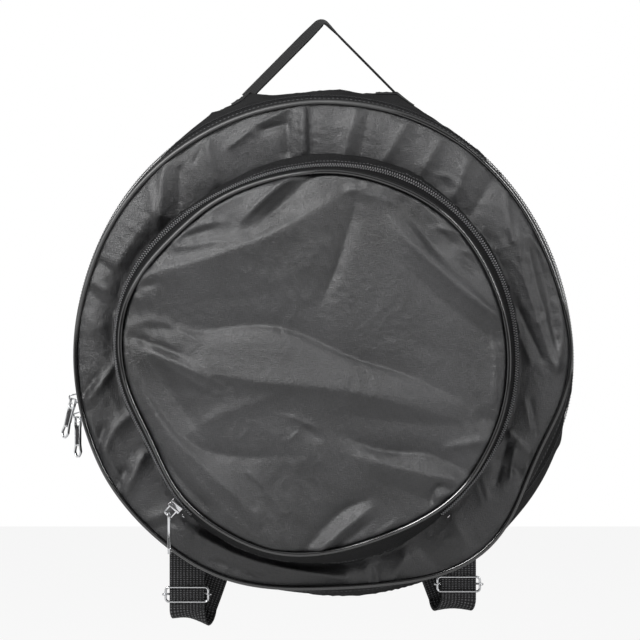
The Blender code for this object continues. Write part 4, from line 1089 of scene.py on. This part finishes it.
coilRow("coverCoil", gussetRadius, middle, bag["zip"], chainStart, chainEnd, -1, "lid", "zip_coil_front")
coilRow("rearCoil", gussetRadius, middle, bag["zip"], chainStart, chainEnd, 1, "bag", "zip_coil_rear")
coilRow(
    "flapCoil", pocketRadius, pocketMiddle, pocket["zip"], pocketStart, pocketEnd, -1,
    "pocket_flap", "pocket_zip_coil_front",
)
coilRow(
    "pocketCoil", pocketRadius, pocketMiddle, pocket["zip"], pocketStart, pocketEnd, 1,
    "lid", "pocket_zip_coil_rear",
)
bpy.data.objects.remove(tooth)
print("zippers laid")

# Stitches beside the zippers and along the pipings

# the stitches are coarser than real ones, so that they show at this picture size
stitch = {"pitch": 3.6, "long": 1.25, "thick": 0.45, "inset": 2.2}
deselect()
bpy.ops.mesh.primitive_uv_sphere_add(segments=6, ring_count=4, radius=1)
seam = bpy.context.object
seam.scale = (stitch["long"] * mm, stitch["thick"] * mm, stitch["thick"] * mm)
bpy.ops.object.transform_apply(location=False, rotation=False, scale=True)
for name, radiusAt, centre, y, start, end, body in (
    ("coverSeam", gussetRadius, middle, bag["zip"] - tapeEdge - stitch["inset"], turnStart, turnEnd, "lid"),
    ("rearSeam", gussetRadius, middle, bag["zip"] + tapeEdge + stitch["inset"], turnStart, turnEnd, "bag"),
    (
        "pocketSeam", pocketRadius, pocketMiddle, pocket["zip"] + pocketTapeEdge + stitch["inset"],
        turnStart, turnEnd, "lid",
    ),
):
    row = ringRow(name, seam, stitch["pitch"], radiusAt, centre, y, start, end)
    dress(row, sewingThread, body, "nylon")
bpy.data.objects.remove(seam)
print("seams sewn")

# Handle: webbing pulled to a point by the hook

# the hook bends it over the peak; ends tuck under the patches, and give is the sewn stretch at a foot
handle = {
    "footX": 57.0, "axisZ": -51.09, "width": 20.0, "thick": 1.7, "give": 8.0, "peakZ": 6.0, "bend": 5,
    "tuckX": 7.0, "tuckZ": 7.6, "steps": 160,
}
patch = {"turn": math.radians(9), "deep": 24, "long": 31, "lift": 0.9}


def ribbonPlace(points, across, widths):
    # a strip square to a path, its width along the across directions
    points, across = np.array(points, float), np.array(across, float)
    ahead = np.gradient(points, axis=0)
    ahead /= np.linalg.norm(ahead, axis=1)[:, None]
    across = across - ahead * (across * ahead).sum(1)[:, None]
    across /= np.linalg.norm(across, axis=1)[:, None]
    stations = np.linspace(0, 1, len(points))

    def place(along, over):
        centre = [np.interp(along, stations, points[:, i]) for i in range(3)]
        side = [np.interp(along, stations, across[:, i]) for i in range(3)]
        half = np.interp(along, stations, widths) / 2
        offset = (2 * over - 1) * half
        return tuple(centre[i] + side[i] * offset for i in range(3))

    return place


def resample(points, count):
    points = np.array(points, float)
    run = np.concatenate([[0], np.cumsum(np.linalg.norm(np.diff(points, axis=0), axis=1))])
    even = np.linspace(0, run[-1], count)
    return np.stack([np.interp(even, run, points[:, i]) for i in range(3)], 1), run[-1]


def bend(corner, before, after, reach, count):
    # a rounded corner between two straight runs
    corner, before, after = np.array(corner), np.array(before), np.array(after)
    start = corner + (before - corner) / np.linalg.norm(before - corner) * reach
    end = corner + (after - corner) / np.linalg.norm(after - corner) * reach
    shares = np.linspace(0, 1, count)[:, None]
    return (1 - shares) ** 2 * start + 2 * shares * (1 - shares) * corner + shares**2 * end


handleFootLeft = np.array((-handle["footX"], 0.0, handle["axisZ"]))
handleFootRight = np.array((handle["footX"], 0.0, handle["axisZ"]))
handlePeak = np.array((0.0, 0.0, handle["peakZ"]))
limbs = [handleFootLeft + np.array((-handle["tuckX"], 0, -handle["tuckZ"]))]
limbs += list(bend(handlePeak, handleFootLeft, handleFootRight, handle["bend"], 9))
limbs += [handleFootRight + np.array((handle["tuckX"], 0, -handle["tuckZ"]))]
handlePath, handleLength = resample(limbs, handle["steps"])
# the left limb turns more of the webbing's face to the front
turnAngle = np.radians(np.interp(handlePath[:, 0], (-14, -3, 3, 14), (25, 22, 10, 4)))
aheadX = np.gradient(handlePath, axis=0)
aheadX /= np.linalg.norm(aheadX, axis=1)[:, None]
level = np.array((0.0, 1.0, 0.0))
lift = np.cross(aheadX, level)
acrossDirections = np.cos(turnAngle)[:, None] * level + np.sin(turnAngle)[:, None] * lift
handleStrap = sheet(
    "handleStrap", (handle["steps"], 12),
    ribbonPlace(handlePath, acrossDirections, np.full(handle["steps"], handle["width"])),
    (handleLength, handle["width"]), handle["thick"],
    (handleWebbing, None, "webbing", ("handle_webbing",)), offset=0, wrap=False,
)
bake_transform(handleStrap)

halfTurn, halfDeep = patch["turn"] / 2, patch["deep"] / 2
for foot, word in zip(handleFeet, ("left", "right")):
    sheet(
        "handlePatch_" + word, (24, 18),
        bandPlace(foot - halfTurn, foot + halfTurn, -halfDeep, halfDeep, patch["lift"]),
        (patch["long"], patch["deep"]), 0.8,
        (handleWebbing, "bag", "webbing", ("handle_root_" + word,)), turn=True, wrap=False,
    )
print("handle sewn on")

# Shoulder straps with their loops

# a strap runs down from its tab, turns in a loop and rises behind the rear panel to its root
strap = {
    "width": 30.0, "thick": 1.5, "footX": 117.0, "footZ": -442.48, "seamY": 80.0, "turn": 9.0, "drift": 10.0,
    "topY": 93.0, "topZ": -146.0, "slack": 10, "curve": 2.3, "steps": 260,
}
strapEnd = {"y": 84.2, "z": -108.0, "seamZ": -131.7, "rise": 14, "tabRadius": 196.5}
loopLength = {"left": 58.3, "right": 49.4}
loopSlant = {"left": -0.3, "right": 0.0}
sides = {"left": -1, "right": 1}


def strapPath(side):
    sign = sides[side]
    foot = np.array((sign * strap["footX"], strap["seamY"], strap["footZ"] - 0.3))
    turnZ = strap["footZ"] - loopLength[side] + strap["turn"]
    turnX = sign * (strap["footX"] - strap["drift"])
    points = [foot + (np.array((foot[0], foot[1], turnZ)) - foot) * t for t in np.linspace(0, 1, 20)[:-1]]
    for t in np.linspace(0, 1, 40):
        angle = math.pi * t
        points.append(
            (
                foot[0] + (turnX - foot[0]) * t * t * (3 - 2 * t),
                foot[1] + strap["turn"] * (1 - math.cos(angle)),
                turnZ - strap["turn"] * math.sin(angle),
            )
        )
    rear = np.array(points[-1])
    for t in np.linspace(0, 1, 80)[1:]:
        points.append(
            (
                sign * rearStrap + (rear[0] - sign * rearStrap) * (1 - t) ** strap["curve"],
                rear[1] + (strap["topY"] - rear[1]) * t + strap["slack"] * math.sin(math.pi * t),
                rear[2] + (strap["topZ"] - rear[2]) * t,
            )
        )
    return points


for side, sign in sides.items():
    steps = strap["steps"]
    path, length = resample(strapPath(side), steps)
    across = np.tile((1.0, 0.0, 0.0), (steps, 1))
    step = np.arange(steps)
    # the left loop hangs with a slant
    across[:, 2] = loopSlant[side] * smooth(28, 38, step) * (1 - smooth(50, 110, step))
    place = ribbonPlace(path, across, np.full(steps, strap["width"]))
    sheet(
        "shoulderStrap_" + side, (steps, 60), place, (length, strap["width"]), strap["thick"],
        (strapWebbing, "strap_" + side, "webbing", ("strap_webbing_" + side,)), offset=0, wrap=False,
        turn=True,
    )

    rootX = sign * rearStrap
    rootPath = [(rootX, strapEnd["y"], strapEnd["z"]), (rootX, strapEnd["y"], strapEnd["seamZ"])]
    for t in np.linspace(0, 1, 12)[1:]:
        y = strapEnd["y"] + (strap["topY"] - strapEnd["y"]) * t * t * (3 - 2 * t)
        rootPath.append((rootX, y, strapEnd["seamZ"] - strapEnd["rise"] * t))
    path, length = resample(rootPath, 40)
    sheet(
        "strapRoot_" + side, (40, 40),
        ribbonPlace(path, np.tile((1.0, 0, 0), (40, 1)), np.full(40, strap["width"])),
        (length, strap["width"]), strap["thick"],
        (strapWebbing, "bag", "webbing", ("strap_root_" + side,)), offset=0, wrap=False,
    )

    def placeTab(along, across):
        x = sign * strap["footX"] + (across - 0.5) * strap["width"]
        top = bag["drop"] - np.sqrt(strapEnd["tabRadius"] ** 2 - x**2)
        return x, np.full_like(x, strap["seamY"]), top + (strap["footZ"] - top) * along

    sheet(
        "strapTab_" + side, (16, 40), placeTab, (14, strap["width"]), strap["thick"],
        (strapWebbing, "bag", "webbing", ("strap_tab_" + side,)), offset=0, wrap=False,
    )
print("straps sewn on")

# Wire buckles

# wire and bar are radii; play is the gap between wire, webbing and bar
buckle = {"width": 38.5, "height": 14.5, "wire": 1.0, "corner": 3.0, "rise": 21.5, "bar": 0.9, "play": 0.3}
for side, sign in sides.items():
    x = sign * strap["footX"]
    y = strap["seamY"] - strap["thick"] / 2 - buckle["play"] - buckle["wire"]
    z = strap["footZ"] - loopLength[side] + buckle["rise"]
    halfX = buckle["width"] / 2 - buckle["wire"] - buckle["corner"]
    halfZ = buckle["height"] / 2 - buckle["wire"] - buckle["corner"]
    loop = []
    for quarter, (signX, signZ) in enumerate(((1, 1), (-1, 1), (-1, -1), (1, -1))):
        for step in range(9):
            angle = math.pi / 2 * (quarter + step / 8)
            loop.append(
                (
                    x + signX * halfX + buckle["corner"] * math.cos(angle), y,
                    z + signZ * halfZ + buckle["corner"] * math.sin(angle),
                )
            )
    frameWire = wire("buckleFrame_" + side, loop, buckle["wire"], closed=True)
    dress(frameWire, nickelPlate, "adjuster_" + side, "metal", ("adjuster_frame_" + side,))
    rail = buckle["width"] / 2 - buckle["wire"]
    hook = buckle["wire"] + buckle["play"] + buckle["bar"]
    back = hook + strap["thick"] + buckle["play"]
    right = [(strap["width"] / 2 - 2, back, 0), (strap["width"] / 2 + 0.75, back, 0)]
    right += [
        (rail + hook * math.cos(math.radians(a)), hook * math.sin(math.radians(a)), 0)
        for a in range(65, -90, -10)
    ]
    left = [(-px, py, pz) for px, py, pz in reversed(right)]
    points = [(x + px, y + py, z + pz) for px, py, pz in left + right]
    barWire = wire("buckleBar_" + side, points, buckle["bar"])
    dress(barWire, nickelPlate, "bar_" + side, "metal", ("adjuster_bar_" + side,))


# Sliders, pulls and stops: the construction's own shapes with rounded edges


def rounded(node, name, width, segments, material, body, slotName):
    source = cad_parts[node]
    piece = source.copy()
    piece.data = source.data.copy()
    piece.name = name
    piece.parent = None
    bpy.context.scene.collection.objects.link(piece)
    makeActive(piece)
    bpy.ops.object.mode_set(mode="EDIT")
    bpy.ops.mesh.select_all(action="SELECT")
    bpy.ops.mesh.remove_doubles(threshold=0.01 * mm)
    bpy.ops.mesh.tris_convert_to_quads()
    bpy.ops.mesh.dissolve_limited(angle_limit=math.radians(1))
    bpy.ops.object.mode_set(mode="OBJECT")
    soft = piece.modifiers.new("edges", "BEVEL")
    soft.width = width * mm
    soft.segments = segments
    soft.limit_method = "ANGLE"
    soft.angle_limit = math.radians(25)
    bpy.ops.object.modifier_apply(modifier="edges")
    bpy.ops.object.shade_smooth_by_angle(angle=math.radians(40))
    dress(piece, material, body, slotName, (node,))
    return piece


for which in ("upper", "lower", "pocket"):
    rounded(which + "_slider", which + "SliderBody", 0.25, 2, nickelPlate, which + "_slider", "metal")
    rounded(which + "_pull", which + "PullFrame", 0.3, 2, nickelPlate, which + "_pull", "metal")
    rounded(which + "_pull_insert", which + "PullInsert", 0.3, 2, insertRubber, which + "_pull", "insert")
for node, body in (
    ("zip_stop_left", "bag"), ("zip_stop_right", "bag"),
    ("pocket_zip_stop_left", "lid"), ("pocket_zip_stop_right", "lid"),
):
    rounded(node, node.replace("_", "") + "Clip", 0.15, 2, nickelPlate, body, "metal")
print("hardware finished")

# Camera, light and stage, as in the photograph: a white room, a big soft lamp and a weaker one

camera = bpy.data.objects.new("camera", bpy.data.cameras.new("camera"))
bpy.context.scene.collection.objects.link(camera)
camera.location = (photo["x"] * mm, (bag["face"] - photo["distance"]) * mm, photo["z"] * mm)
camera.rotation_euler = (math.radians(90), 0, 0)
camera.data.sensor_width = 36
camera.data.lens = 36 * photo["distance"] / (2 * photo["middle"] * photo["mmPerPixel"])
camera.data.clip_end = 20
bpy.context.scene.camera = camera

# name, place, size in metres, turn in degrees and power in watts
lamps = (
    ("keyLamp", (-0.94, -1.36, 1.04), (0.8, 0.7), 36, 48),
    ("fillLamp", (1.2, -1.4, 0.55), (0.2, 1.0), 0, 13),
)
for name, place, size, turn, power in lamps:
    lamp = bpy.data.objects.new(name, bpy.data.lights.new(name, "AREA"))
    bpy.context.scene.collection.objects.link(lamp)
    lamp.data.shape = "RECTANGLE"
    lamp.data.size, lamp.data.size_y = size
    lamp.data.energy = power
    lamp.location = place
    aim = Vector((0, 0, bag["drop"] * mm)) - Vector(place)
    roll = Quaternion((0, 0, 1), math.radians(turn))
    lamp.rotation_euler = (aim.to_track_quat("-Z", "Y") @ roll).to_euler()

world = bpy.data.worlds.new("studio")
bpy.context.scene.world = world
world.use_nodes = True
tree = world.node_tree
tree.nodes.clear()
rays = addNode(tree, "LightPath")
white = addNode(tree, "Background", {"Color": (1, 1, 1, 1), "Strength": 1.0})
plain = addNode(tree, "Background", {"Color": (1, 1, 1, 1), "Strength": 0.1})
# shiny faces see white walls at both sides, a paler ceiling and a dim room behind the camera
heading = addNode(tree, "TexCoord")
ways = addNode(tree, "SeparateXYZ", links={"Vector": heading.outputs["Generated"]})
sideways = addNode(tree, "Math", links={0: ways.outputs["X"]}, operation="ABSOLUTE")
walls = addNode(
    tree, "MapRange", {"From Min": 0.6, "From Max": 0.95, "To Min": 0.03, "To Max": 1.0},
    {"Value": sideways}, interpolation_type="SMOOTHSTEP",
)
ceiling = addNode(
    tree, "MapRange", {"From Min": 0.3, "From Max": 0.95, "To Min": 0.03, "To Max": 0.6},
    {"Value": ways.outputs["Z"]}, interpolation_type="SMOOTHSTEP",
)
room = addNode(tree, "Math", links={0: walls, 1: ceiling}, operation="MAXIMUM")
shiny = addNode(
    tree, "Math",
    links={0: rays.outputs["Is Glossy Ray"], 1: room}, operation="MULTIPLY",
)
seen = addNode(
    tree, "Math", links={0: rays.outputs["Is Camera Ray"], 1: shiny},
    operation="MAXIMUM",
)
seen = addNode(
    tree, "Math", links={0: seen, 1: rays.outputs["Is Transmission Ray"]},
    operation="MAXIMUM",
)
mix = addNode(tree, "MixShader", links={0: seen, 1: plain, 2: white})
out = addNode(tree, "OutputWorld", links={"Surface": mix})

deselect()
bpy.ops.mesh.primitive_plane_add(size=5, location=(0, 0, -0.62))
floor = bpy.context.object
floor.name = "floor"
floorPaint, tree, shader = newMaterial("paleFloor", "#e6e6e6", 0.8)
rays = addNode(tree, "LightPath")
glow = addNode(tree, "Emission", {"Color": (1, 1, 1, 1), "Strength": 1.0})
share = addNode(tree, "Math", {1: 0.9}, {0: rays.outputs["Is Camera Ray"]}, operation="MULTIPLY")
blendFloor = addNode(tree, "MixShader", links={0: share, 1: shader.outputs["BSDF"], 2: glow})
tree.links.new(blendFloor.outputs["Shader"], tree.nodes["Material Output"].inputs["Surface"])
floor.data.materials.append(floorPaint)

bpy.context.scene.view_settings.view_transform = "Standard"
